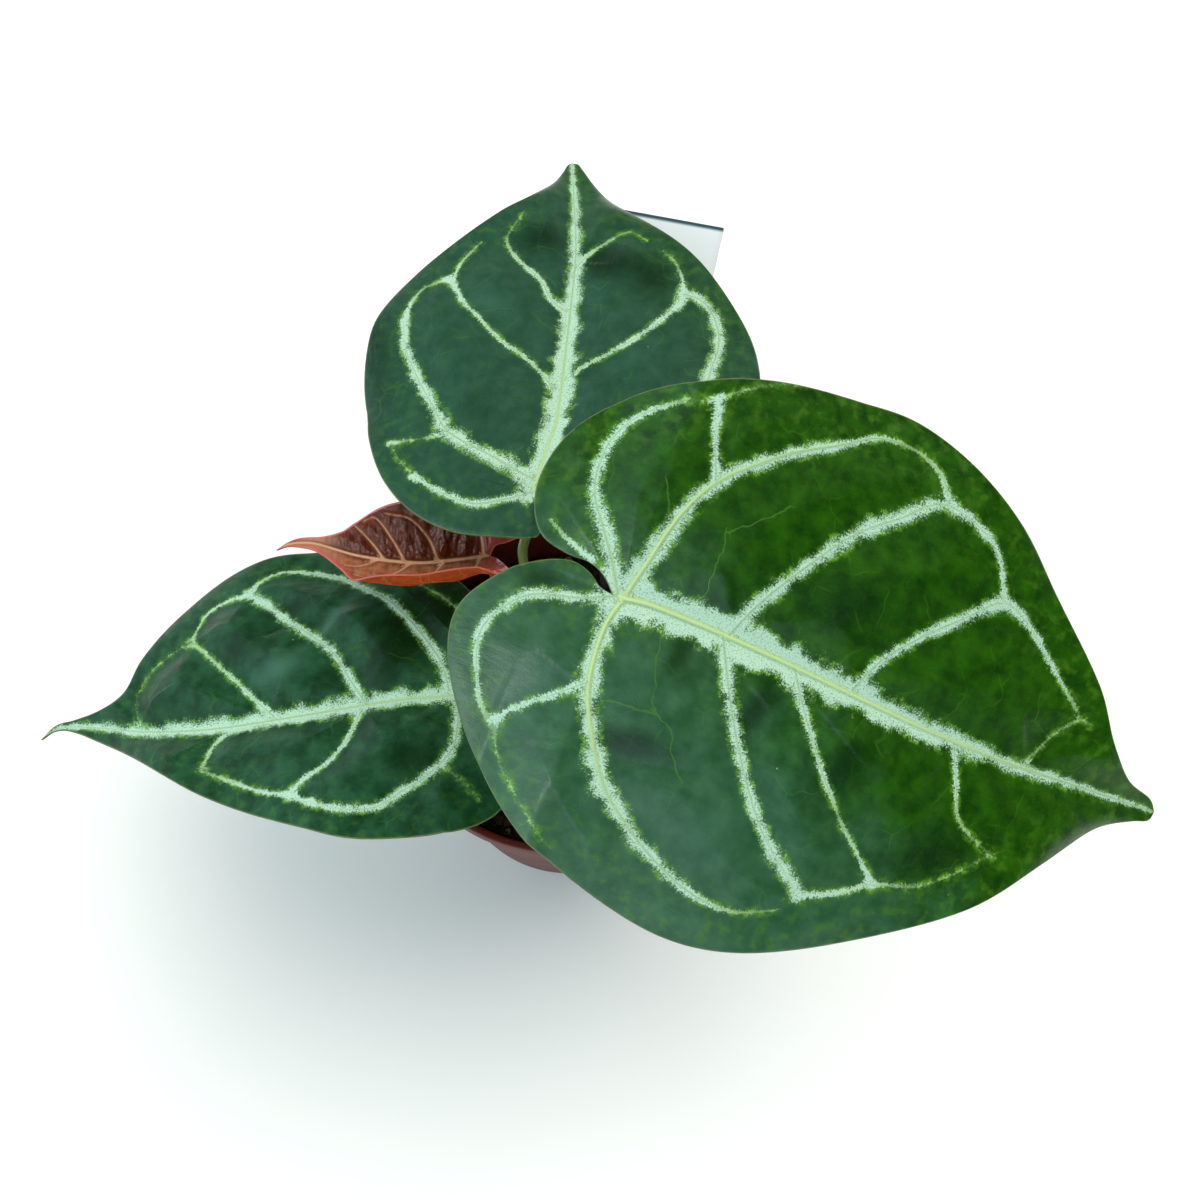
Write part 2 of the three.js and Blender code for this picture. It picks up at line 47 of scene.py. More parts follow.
# Leaves. Each is drawn flat first: x runs from the stalk to the tip, y across from the midrib. It is
# then bent: droop curls it along the midrib, and left and right give the angle at which each half
# leaves the midrib, at the stalk and at the tip, and its curl down in radians for each millimetre. A
# vein is its points, its widths from root to end and the width of its ridge. A dent is x, y, length,
# width, turn in degrees and depth. The spots are the same, for painted shade, a darker green where
# the leaf lies in shade, or, where their strength is negative, for a painted sheen of paler blue green.
# A half's first angle fades out over LOBE_FADE behind the stalk, where the lobes
# droop by LOBE_DROOP. The first INNER_SHARE of its rays lie beside the slit between the lobes and
# count as edge from 1 / INNER_RISE of their length on. The edge's wave fades out over WAVE_END before
# the tip. WEB is how softly two silver bands run together where they meet.
LOBE_FADE = 20
LOBE_DROOP = 0.004
HALF_PHASE = 2
INNER_SHARE = 0.125
INNER_RISE = 3
BLADE_THICKNESS = 0.62
ROUGHNESS = 0.35
WEB = 1.1
WAVE_END = 24
VEIN_REACH = 16
VEIN_RUN_STEP = 200
FAR_AWAY = 30.0
CREST_HEIGHT = 0.2
CREST_WIDTH = 0.6
RIB_HEIGHT = 0.9
RIB_WIDTHS = (0.5, 0.6)
EDGE_BULGE = 0.6
MERGE_DISTANCE = 0.002

LEAF_FRONT = dict(
    attach=(18.5, -16, 203), along=(0.93, -0.30, -0.215), up=(0.12, -0.42, 0.9),
    length=184.5, droop=0.002,
    left=(0.18, 0.18, 0.005), right=(0.18, 0.18, 0.005),
    midrib=[(0, 0), (10, 1.2), (42, 0.4), (95, -2.8), (125, -3), (153, -1.6), (184.5, 0)],
    left_edge=[(-2, 0), (-6, 3.8), (-11, 5.9), (-18, 6.1), (-27, 9), (-32.6, 20), (-30, 38.5), (-16, 56),
        (15, 69.5), (44, 77), (64, 79), (101.5, 66.2), (122, 50.6), (145, 30), (157, 15.6), (169, 6.6),
        (181, 3.2), (184.5, 0)],
    right_edge=[(-2, 0), (-6, 0.8), (-10, 3.4), (-15.5, 4.7), (-23, 2.4), (-32, -4.2), (-41, -18),
        (-39.5, -31), (-23, -54.6), (4.6, -74.4), (31, -83.5), (52, -83.8), (85, -72), (127, -44.8),
        (147, -25.4), (165, -9.8), (177, -4.8), (183, -3), (184.5, 0)],
    left_back=0.085, right_back=0.14, fan=0.36, rays=220, steps=104,
    quilt=2.2, spread=11, wave=1.6, wavelength=74, phase=0.6,
    midrib_widths=[12, 11.4, 12.6, 11, 9.1, 8.6, 6.3, 4.3, 3.7, 2.3, 1.4], midrib_ridge=1.5,
    veins=[
        ([(-1, 1), (-6, 9), (-11, 16), (-16, 23), (-18, 28), (-18.6, 35), (-18, 41), (-13, 50), (-2, 58)],
         [6.5, 5.5, 4, 3, 0.8], 0.7),
        ([(-11, 7), (-17, 9), (-25, 13)], [2.2, 1], 0),
        ([(1, 0), (3, 9), (7, 26), (13, 38), (23, 48), (30, 54), (42, 62), (53, 69.6), (64, 71),
         (73.5, 67.5), (77, 63)], [8.6, 6.6, 4.6, 3.8, 4, 2.2, 1, 1.8], 1.1),
        ([(13, 38), (9, 48), (5.5, 60)], [3, 2.8, 2.6, 3.4], 0.3),
        ([(-2, 58), (5, 60), (11, 64.3), (17.5, 69), (28, 73.9)], [0.5, 0.8, 0.9, 0.6, 0.3], 0),
        ([(32, 0), (37, 12.6), (48, 31), (56, 42), (66, 51), (76, 60), (86.5, 59.6), (97, 55), (105, 43)],
         [4.9, 4.3, 5.1, 3.6, 1.6], 0.5),
        ([(71, 0), (76, 12.5), (84, 23), (94, 33), (105, 42.5), (115, 39.5), (126, 32), (141, 21)],
         [3.4, 3.1, 4.6, 2.6, 0.9], 0.4),
        ([(131, 0), (137, 13), (143, 19), (147, 18.6)], [1.1, 0.8], 0),
        ([(-1, 0), (-10, -4), (-23, -8), (-29, -14), (-32.6, -22), (-30.6, -31), (-24, -43),
         (-20.5, -44.4)], [3.4, 3.7, 3.2, 2.3, 1.1], 0.5),
        ([(1, 0), (-1, -9), (0, -24), (4, -35), (14, -51), (24, -59), (35.5, -65.4), (48, -69.5),
         (60, -69.7), (73, -64)], [6, 6.9, 5.1, 6.9, 4.9, 4, 1.6, 0.3], 1.1),
        ([(0, -25), (-8, -32), (-15.5, -38), (-20.5, -44.4)], [2.4, 2.2], 0.3),
        ([(-20.5, -44.4), (-15, -54), (-7, -61), (6, -72)], [1.1, 0.6, 0.4], 0),
        ([(30.5, 0), (38, -15), (49, -32.5), (60.5, -46), (70, -53), (77, -58)], [4.9, 4, 4.6], 0.5),
        ([(53, 0), (59, -9), (70, -23), (82, -35), (90, -41), (97, -47)], [4.4, 2.4, 1.2, 2.2], 0.4),
        ([(77, -58), (89, -52.5), (97, -47), (111, -42.5), (123, -33), (129, -27)], [2, 1.6, 0.8, 0.6],
         0),
        ([(107, 0), (111, -10), (116, -21), (130, -27.5)], [2.9, 1.4, 0.6], 0.3),
    ],
    threads=[
        [(14.2, -6.3), (16, -16.8), (19.7, -27.7), (25.6, -30.5), (27.3, -34.8), (33, -42)],
        [(6, -29.5), (13, -28.2), (19.5, -27.8)],
        [(0, 35), (3.7, 27)], [(20.7, 26.5), (21.2, 17.8), (21.6, 8.8)],
        [(20.7, 26.5), (28.3, 33.3), (35, 39.6)],
    ],
    dents=[(28, -40.5, 16, 3.2, 12, 1.5), (-6, -46, 4, 4, 0, 0.5), (9, -59, 6, 4, 20, 0.8),
        (-21, -2.5, 9, 3.4, -8, 1.2), (20, -24, 12, 2.6, 62, 0.6), (82, -17, 9, 4, 70, 0.5)],
    # The spots below are painted shade, and painted sheen where their strength is negative.
    spots=[(60, 22, 16, 8, 20, 0.9), (26, 9, 12, 5, 20, 0.6), (23, 31, 9, 6, 40, 0.5),
        (17, -38, 11, 5, 10, 1.2), (46, -17, 13, 4, 70, 1.1), (76, -20, 15, 6, 60, 1.0),
        (21, -11, 7, 4, 70, 0.9), (112, -33, 17, 9, 30, 0.9), (37, -31, 8, 4, 60, -0.4),
        (-21, -3, 10, 5, 0, 0.9), (46, -50, 12, 8, 60, -0.5), (-14, -28, 12, 7, 0, -0.3)],
)
LEAF_BACK = dict(
    attach=(-8.6, 44.7, 154), along=(0.07, 0.995, 0.03), up=(0, -0.03, 1),
    length=160.2, droop=0.0022,
    left=(0.2, 0.2, 0.0065), right=(0.2, 0.2, 0.0065),
    midrib=[(0, 0), (17, -3.2), (28, -5.4), (85, -6.2), (107, -5.6), (132, -3), (160.2, 0)],
    left_edge=[(-2, 0), (-6, -2), (-11, -3.6), (-16, -2.6), (-17, 8), (-15.6, 26), (-7, 42.4), (15, 58.8),
        (34, 66.4), (53, 67.8), (68, 66), (91, 55.4), (119, 28.4), (131, 16.4), (144, 7.6), (153, 3.7),
        (158.5, 1.7), (160.2, 0)],
    right_edge=[(-2, 0), (-7, -3), (-14, -4.6), (-18, -12), (-18.6, -25), (-14, -39), (-4, -51),
        (12, -60), (30, -65.6), (55, -66.6), (71, -63.1), (95, -47.6), (125, -22), (135.5, -13.2),
        (146, -7.3), (155, -3.8), (159, -2.2), (160.2, 0)],
    left_back=0.07, right_back=0.09, fan=0.3, rays=200, steps=92,
    quilt=2.6, spread=10, wave=1.8, wavelength=66, phase=2.2,
    midrib_widths=[9.2, 9.2, 8.8, 8, 6.4, 5, 3.6, 2], midrib_ridge=0.9,
    veins=[
        ([(74, 1.5), (78, 7), (86, 11), (93, 17), (98.5, 22), (106, 25), (120.5, 19.5)],
         [2.5, 2.4, 2, 1, 0.6], 0.4),
        ([(40, 3), (46, 8), (52, 15), (57.5, 23), (65, 30), (73, 37), (83, 42.5), (85, 45)],
         [1.8, 1.7, 2.6], 0.35),
        ([(83, 42.5), (93, 41), (103.5, 34.6)], [2, 1], 0),
        ([(85, 45), (81, 52), (73, 55.5), (63.4, 56.5)], [0.9, 1.4, 2.6], 0),
        ([(4, 0), (7, 8), (11, 17), (16, 28.5), (20, 35), (31, 43), (42.5, 50), (52, 54.4), (63.4, 56.5)],
         [7, 5.6, 4.8, 4.2, 3.2], 0.6),
        ([(18, 34), (15.6, 41.6), (14, 51)], [1.8, 0.7, 1.6], 0),
        ([(14, 51), (8, 46.6), (1, 39)], [0.7, 0.8], 0),
        ([(0, 0), (-2, 4), (-5, 12), (-6.5, 18), (-5, 26), (-2, 33), (1, 39)], [3.2, 3, 2.2], 0.4),
        ([(93, 1), (103.4, -5), (108, -10.6), (113.6, -20), (108.7, -25.4)], [2.2, 1.3, 0.5], 0.3),
        ([(45, -2.7), (48.5, -6), (55, -15.5), (63, -25), (72.5, -33), (81, -39), (83.7, -39.3)],
         [1.8, 1.8, 2.8, 3.9], 0.35),
        ([(83.7, -39.3), (93, -37.7), (99, -35), (103.6, -30.5)], [2.2, 1.2, 0.6], 0),
        ([(83.7, -39.3), (82, -45), (77.6, -49), (69, -52), (60, -52), (51, -50), (44, -48.4), (28, -40),
         (14, -25), (5, -9), (3, 0)], [4.4, 5, 5, 5, 6], 0.5),
        ([(0, 0), (-5, -8), (-8, -18), (-6, -29), (2, -41), (12, -48)], [3.2, 3, 1.8, 0.8], 0.4),
    ],
    dents=[(95, -12, 9, 5, 30, 1.0), (88, -22, 7, 5, 0, 0.7), (103, 15, 8, 5, 0, 0.6)],
    # The spots below are painted shade, and painted sheen where their strength is negative.
    spots=[(108, 13, 9, 10, 0, 1.1), (98, -11, 10, 9, 30, 1.3), (90, -28, 11, 9, 0, 1.0),
        (44, 63, 34, 6, 10, 0.8), (30, -20, 16, 10, 40, 0.4), (27, 25, 12, 7, 40, 0.5),
        (75, 32, 14, 8, 60, -0.5), (52, -22, 16, 9, -40, -0.35)],
)
LEAF_LEFT = dict(
    attach=(-33.7, -16.3, 127.7), along=(-0.975, 0, -0.16), up=(-0.1, 0.12, 1),
    length=156, droop=0.0016,
    left=(0.2, 0.2, 0.0065), right=(0.2, 0.2, 0.0065),
    midrib=[(0, 0), (18, 0), (52, 2.6), (80, 3.8), (97, 2.9), (113, 0.7), (130, -3.3), (144, -6.1),
        (151, -6.1), (156, -3.5)],
    left_edge=[(-2, 0), (-8, 1.2), (-14, 5), (-20, 15), (-21.5, 28), (-16, 39.5), (-5, 46.2), (10, 48.6),
        (29, 47.6), (47, 41), (83, 25.3), (114, 9.9), (129, 5.2), (142, 2), (150, 0.8), (156, 0)],
    right_edge=[(-2, 0), (-8, -1), (-13, -8), (-13, -22), (-4, -38), (11, -50), (26, -59), (43, -65.8),
        (58, -67.4), (73, -66.6), (91, -58.6), (107, -43.4), (117, -27), (122, -13.6), (131, -6),
        (142, -2.3), (150, -1.5), (156, 0)],
    left_back=0.09, right_back=0.07, fan=0.28, rays=200, steps=92,
    quilt=3.6, spread=9, wave=1.4, wavelength=60, phase=4.0,
    midrib_widths=[6.6, 7, 7.4, 7.6, 7, 5.4, 3, 1.6], midrib_ridge=0.8,
    veins=[
        ([(2, -2.5), (5, -12), (11, -21), (19, -31), (24.5, -37), (34, -44), (44.5, -52), (56.5, -56.7),
         (66, -58.5), (74, -55.6), (78, -50)], [4.4, 3.7, 3, 2, 1.6], 0.5),
        ([(30, -0.7), (36, -10), (42, -20), (50, -28), (60, -36), (70, -44.7), (78, -50)],
         [3.6, 3.4, 3.6], 0.4),
        ([(78, -50), (85, -49), (93, -45), (97, -34)], [2, 1.3], 0),
        ([(62, -1.3), (69, -8), (78, -17), (87, -25), (94, -31), (98, -32)], [2.5, 1.6, 1.2], 0.3),
        ([(97, -34), (105, -29), (112, -22), (116, -11), (114, -3.6)], [0.7, 0.5], 0),
        ([(-1, 1), (-2, 9), (-1.4, 19), (2, 25), (7, 29.5), (14, 34), (22, 38.5), (32, 38), (43.5, 34)],
         [3.8, 3.6, 3.4, 2.6], 0.5),
        ([(2, 25), (-5, 31), (-10, 36)], [0.9, 0.5], 0),
        ([(31, 2), (33, 9.5), (35, 15), (40, 21), (46.5, 25), (51, 30)], [1.7, 2, 3.2], 0.3),
        ([(43.5, 34), (51, 30), (61, 27), (71, 22.5), (85, 16)], [2.2, 1.8, 0.9], 0),
        ([(78, 2), (82, 7), (84, 15)], [1.8, 1.2], 0),
        ([(0, -1), (-6, -9), (-7, -20), (2, -33), (14, -42)], [2.6, 1.6, 0.8], 0.3),
    ],
    dents=[(37, -32, 7, 4, 35, -0.8), (60, -21, 6, 4.5, 25, -1.3), (48, -33, 9, 4, 40, 1.0),
        (66, -33, 7, 3.5, 30, 0.9), (84, -35, 6, 4, 20, -0.5)],
    # The spots below are painted shade, and painted sheen where their strength is negative.
    spots=[(76, -28, 10, 6, 20, 1.0), (59, -41, 9, 4, 10, 1.1), (42, -12, 6, 6, 0, 0.8),
        (22, -14, 11, 7, 40, 1.1), (12, -30, 14, 11, 40, 1.8), (28, 9, 9, 6, 0, 0.7),
        (10, 23, 11, 8, 0, 0.9), (110, -10, 10, 6, 0, 0.6), (60, -17, 12, 5, 10, -0.9),
        (44, -34, 12, 3, 48, -0.7), (46, 21, 15, 8, 0, -0.35)],
)
LEAF_YOUNG = dict(
    attach=(-24.2, 29.5, 138), along=(-0.985, 0.03, -0.06), up=(0, 0, 1),
    length=71, droop=0.0002,
    left=(0.1, -0.1, -0.075), right=(0.5, 0.45, -0.02),
    midrib=[(0, 0), (10, 1.5), (24, 2.6), (43, -0.1), (58, -4.7), (63.5, -5.1), (67.5, -4.5), (71, -2.5)],
    left_edge=[(-1, 0), (-5, 2.5), (-8.5, 7), (-9, 13), (-4, 19.5), (6, 22.8), (16, 23.6), (25, 24),
        (33, 22.2), (39, 18.5), (43, 13), (47, 8), (52, 5), (57, 3), (64, 1.6), (71, 0)],
    right_edge=[(-1, 0), (-3, -3.4), (-7, -4.6), (-12, -8), (-11, -14), (-3, -19.5), (9, -23),
        (20, -22.5), (33, -18.4), (43.5, -11), (49, -6.4), (57, -2.4), (64, -1.4), (71, 0)],
    left_back=0.1, right_back=0.13, fan=0.3, rays=130, steps=52,
    quilt=0.9, spread=4, wave=0.4, wavelength=30, phase=1,
    midrib_widths=[1.6, 1.7, 1.6, 1.4, 1.2, 1.1, 1], midrib_ridge=0.6,
    veins=[
        ([(34, 0), (38, -5), (45, -11)], [0.9, 0.5], 0.3),
        ([(27, 0), (31, -7), (37, -14), (41, -12)], [0.9, 0.7, 0.4], 0.3),
        ([(16, 0), (19, -8), (25, -15), (33, -16)], [1, 0.7, 0.4], 0.3),
        ([(1, 0), (2, -8), (6, -16), (14, -19.5), (24, -19)], [1.1, 0.8, 0.4], 0.3),
        ([(36, 0), (42, 4), (47, 5)], [0.8, 0.4], 0.2),
        ([(25, 0), (31, 6), (39, 10), (43, 9)], [0.9, 0.6, 0.4], 0.3),
        ([(14, 0), (19, 8), (27, 15), (36, 17)], [0.9, 0.6, 0.4], 0.3),
        ([(2, 0), (5, 9), (12, 17), (22, 20)], [1, 0.7, 0.4], 0.3),
    ],
    dents=[], spots=[],
)
LEAVES = {"leaf_front": LEAF_FRONT, "leaf_back": LEAF_BACK, "leaf_left": LEAF_LEFT,
          "leaf_young": LEAF_YOUNG}


# Geometry helpers
def unit(values):
    array = np.asarray(values, dtype=float)
    return array / np.linalg.norm(array)


def through_knots(knots, x):
    """A smooth value through a few (place, value) knots, for an array of places."""
    places = np.array([knot[0] for knot in knots], dtype=float)
    values = np.array([knot[1] for knot in knots], dtype=float)
    ahead = np.minimum(np.arange(len(places)) + 1, len(places) - 1)
    behind = np.maximum(np.arange(len(places)) - 1, 0)
    slopes = (values[ahead] - values[behind]) / (places[ahead] - places[behind])
    inside = np.clip(x, places[0], places[-1])
    i = np.clip(np.searchsorted(places, inside, side="right") - 1, 0, len(places) - 2)
    span = places[i + 1] - places[i]
    t = (inside - places[i]) / span
    rise = values[i + 1] - values[i]
    m0 = slopes[i] * span
    m1 = slopes[i + 1] * span
    return values[i] + t * (m0 + t * (3 * rise - 2 * m0 - m1 + t * (m0 + m1 - 2 * rise)))


def smooth_curve(points, samples=40):
    """A smooth curve through the points, as a fine polyline."""
    knots = np.array(points, dtype=float)
    knots = np.vstack([2 * knots[0] - knots[1], knots, 2 * knots[-1] - knots[-2]])
    pieces = []
    t = np.linspace(0, 1, samples, endpoint=False)[:, None]
    for p0, p1, p2, p3 in zip(knots, knots[1:], knots[2:], knots[3:]):
        d0, d1, d2 = (math.sqrt(np.linalg.norm(b - a)) for a, b in ((p0, p1), (p1, p2), (p2, p3)))
        m1 = ((p1 - p0) / d0 - (p2 - p0) / (d0 + d1) + (p2 - p1) / d1) * d1
        m2 = ((p2 - p1) / d1 - (p3 - p1) / (d1 + d2) + (p3 - p2) / d2) * d1
        cubic = 2 * p1 - 2 * p2 + m1 + m2
        square = -3 * p1 + 3 * p2 - 2 * m1 - m2
        pieces.append(p1 + t * (m1 + t * (square + t * cubic)))
    return np.vstack(pieces + [knots[-2:-1]])


def arc_lengths(path):
    return np.concatenate([[0], np.cumsum(np.linalg.norm(np.diff(path, axis=0), axis=1))])


def at_share(path, share):
    """Points at shares of a polyline's length."""
    lengths = arc_lengths(path)
    places = np.asarray(share) * lengths[-1]
    return np.stack([np.interp(places, lengths, path[:, k]) for k in range(path.shape[1])], axis=-1)


def nearest_on_path(path, points):
    """Distance, side and run along the path, for each of the flat points."""
    best = np.full(len(points), np.inf)
    side = np.zeros(len(points))
    run = np.zeros(len(points))
    lengths = arc_lengths(path)
    for k in range(len(path) - 1):
        a = path[k]
        step = path[k + 1] - a
        size = np.linalg.norm(step)
        if size == 0:
            continue
        away = points - a
        t = np.clip(away @ step / size ** 2, 0, 1)
        gap = away - t[:, None] * step
        distance = np.hypot(gap[:, 0], gap[:, 1])
        closer = distance < best
        best[closer] = distance[closer]
        cross = step[0] * away[:, 1] - step[1] * away[:, 0]
        side[closer] = np.sign(cross)[closer]
        run[closer] = (lengths[k] + t * size)[closer]
    return best, side, run


def mesh_object(name, points, faces, smooth=True):
    """An object from points in millimetres and an array or a list of faces."""
    mesh = bpy.data.meshes.new(name)
    mesh.from_pydata((np.asarray(points) * MM).tolist(), [],
                     faces.tolist() if isinstance(faces, np.ndarray) else faces)
    mesh.polygons.foreach_set("use_smooth", [smooth] * len(mesh.polygons))
    piece = bpy.data.objects.new(name, mesh)
    bpy.context.scene.collection.objects.link(piece)
    return piece


def dress(piece, nodes, materials):
    """Gives a piece its materials, the nodes that it stands for and its body."""
    for material in materials:
        piece.data.materials.append(material)
    if nodes:
        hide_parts(*nodes)
    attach(piece, "root")
    return piece


# Leaf blades
def bend(leaf, x, y, height):
    """Flat points of a leaf, bent into place. Height stands off the blade's middle layer."""
    along = unit(leaf["along"])
    up = np.asarray(leaf["up"], dtype=float)
    up = unit(up - up.dot(along) * along)
    across = np.cross(up, along)
    left = y >= 0
    side = np.where(left, 1, -1)
    droop = np.where(x >= 0, leaf["droop"], LOBE_DROOP)
    angle = droop * x
    up_here = np.cos(angle)[..., None] * up + np.sin(angle)[..., None] * along
    first, last, curl = (np.where(left, *pair) for pair in zip(leaf["left"], leaf["right"]))
    share = np.clip(x / leaf["length"], 0, 1)
    rise = (first + (last - first) * share) * np.clip(1 + x / LOBE_FADE, 0, 1)
    tilt = rise - curl * np.abs(y)
    sideways = (np.sin(rise) - np.sin(tilt)) / curl
    lift = (np.cos(tilt) - np.cos(rise)) / curl
    lean = np.minimum(1, np.abs(y)) * np.sin(tilt) * height
    offset = side * (sideways - lean) + through_knots(leaf["midrib"], x)
    return (np.asarray(leaf["attach"], dtype=float)
            + (np.sin(angle) / droop)[..., None] * along
            + ((np.cos(angle) - 1) / droop)[..., None] * up
            + offset[..., None] * across
            + (lift + np.cos(tilt) * height)[..., None] * up_here)


def half_grid(leaf, side, rays, steps):
    """One half of a blade: rays from the midrib to the edge, as flat points and the share out."""
    back = leaf[side + "_back"]
    curve = smooth_curve(leaf[side + "_edge"])
    start = at_share(curve, 0)
    chord_end = at_share(curve, back)
    part = np.linspace(0, 1, rays + 1)[:, None]
    out = np.linspace(0, 1, steps + 1)[None, :]
    end = at_share(curve, back + (1 - back) * part)
    down = np.maximum(0, (part - leaf["fan"]) / (1 - leaf["fan"]))
    root = np.zeros((rays + 1, 1, 2))
    root[..., 0] = start[0] + (leaf["length"] - start[0]) * down
    pull = np.maximum(0, 1 - part / leaf["fan"]) ** 2
    bow = at_share(curve, back * out) - (start + (chord_end - start) * out[..., None])
    place = root + (end - root) * out[..., None] + bow * pull[..., None]
    beside_lobe = np.maximum(0, 1 - part / INNER_SHARE)
    near_edge = np.maximum(out + 0 * part, beside_lobe * np.minimum(1, INNER_RISE * out))
    near_edge[-1] = 1
    return place, near_edge, curve


def vein_paths(leaf):
    """Every vein as a fine path, its widths and the width of its centre ridge."""
    midrib = np.stack([np.linspace(0, leaf["length"], 40), np.zeros(40)], axis=-1)
    veins = [(midrib, leaf["midrib_widths"], leaf["midrib_ridge"])]
    for points, widths, ridge in leaf["veins"]:
        veins.append((smooth_curve(points, 6), widths, ridge))
    return veins


def vein_field(leaf, x, y):
    """The nearest vein's band, its ridge line and the fine threads at each flat point."""
    points = np.stack([x, y], axis=-1)
    count = len(points)
    keys = ("vein", "half", "run", "ridge", "line", "web", "thread")
    field = {key: np.zeros(count) for key in keys}
    inside, near, line_near, thread_near = -np.full(count, FAR_AWAY), *np.full((3, count), FAR_AWAY)
    blend = np.zeros(count)
    threads = [(smooth_curve(points, 6), [0.5, 0.3], 0) for points in leaf.get("threads", [])]
    veins = vein_paths(leaf)
    for number, (path, widths, ridge) in enumerate(veins + threads):
        low = path.min(axis=0) - VEIN_REACH
        high = path.max(axis=0) + VEIN_REACH
        close = np.flatnonzero(((points > low) & (points < high)).all(axis=1))
        if len(close) == 0:
            continue
        distance, side, run = nearest_on_path(path, points[close])
        share = run / arc_lengths(path)[-1]
        if number >= len(veins):
            better = distance < thread_near[close]
            thread_near[close[better]] = distance[better]
            field["thread"][close[better]] = (distance * side)[better]
            continue
        half = 0.5 * np.interp(share, np.linspace(0, 1, len(widths)), widths)
        blend[close] += np.exp((half - distance) / WEB)
        better = half - distance > inside[close]
        at = close[better]
        inside[at] = (half - distance)[better]
        near[at] = distance[better]
        field["vein"][at] = (distance * side)[better]
        field["half"][at] = half[better]
        field["run"][at] = run[better] + VEIN_RUN_STEP * number
        better = (distance < line_near[close]) & (ridge > 0)
        at = close[better]
        line_near[at] = distance[better]
        field["line"][at] = (distance * side)[better]
        field["ridge"][at] = (ridge * (1 - 0.75 * share))[better]
    field["web"] = np.clip(WEB * np.log(np.maximum(blend, 1e-9)) - inside, 0, 2)
    field.update(near=near, line_near=line_near, thread_near=thread_near)
    return field


def spots(places, x, y):
    """The sum of soft oval spots, each x, y, length, width, turn in degrees and strength."""
    total = 0 * x
    for cx, cy, length, width, degrees, strength in places:
        angle = math.radians(degrees)
        u = ((x - cx) * math.cos(angle) + (y - cy) * math.sin(angle)) / length
        v = ((y - cy) * math.cos(angle) - (x - cx) * math.sin(angle)) / width
        total += strength * np.exp(-u ** 2 - v ** 2)
    return total


def relief(leaf, x, y, out, near):
    """Bulges between sunken veins, waves along the edge and dents."""
    height = leaf["quilt"] * (1 - np.exp(-(near / leaf["spread"]) ** 2)) * (1 - out ** 4)
    turn = 2 * math.pi * x / leaf["wavelength"] + leaf["phase"] + np.clip(-y, 0, HALF_PHASE)
    wave = leaf["wave"] * np.sin(turn) * out ** 2 * np.clip((leaf["length"] - x) / WAVE_END, 0, 1)
    return height + wave - spots(leaf["dents"], x, y)


def unevenness(x, y, shift):
    """Soft noise in about -1 to 1, in a broad and a fine size."""
    values = np.empty(len(x))
    for k, (px, py) in enumerate(zip(x.tolist(), y.tolist())):
        broad = noise.noise(Vector((px / 17, py / 17, shift)))
        fine = noise.noise(Vector((px / 6, py / 6, shift + 9)))
        values[k] = broad + 0.35 * fine
    return values


def store(piece, name, values, kind="FLOAT"):
    layer = piece.data.attributes.new(name, kind, "POINT")
    key = "vector" if kind == "FLOAT_VECTOR" else "value"
    layer.data.foreach_set(key, np.ascontiguousarray(values, dtype=np.float32).ravel())


def merge_points(piece):
    work = bmesh.new()
    work.from_mesh(piece.data)
    bmesh.ops.remove_doubles(work, verts=work.verts, dist=MERGE_DISTANCE * MM)
    work.to_mesh(piece.data)
    work.free()


def loop_faces(rows, columns):
    """Quads of a blade whose rows are loops: over the top, round one edge and back below.

    Kind 0 is the upper face, 1 the lower face and 2 the edge."""
    size = 2 * columns + 2
    kind = np.full(size, 2)
    kind[:columns - 1] = 0
    kind[columns + 1:2 * columns] = 1
    here = np.arange(size)
    ahead = (here + 1) % size
    row = np.arange(rows - 1)[:, None] * size
    quads = np.stack([row + here, row + ahead, row + size + ahead, row + size + here], axis=-1)
    return quads.reshape(-1, 4), np.tile(kind, rows - 1)


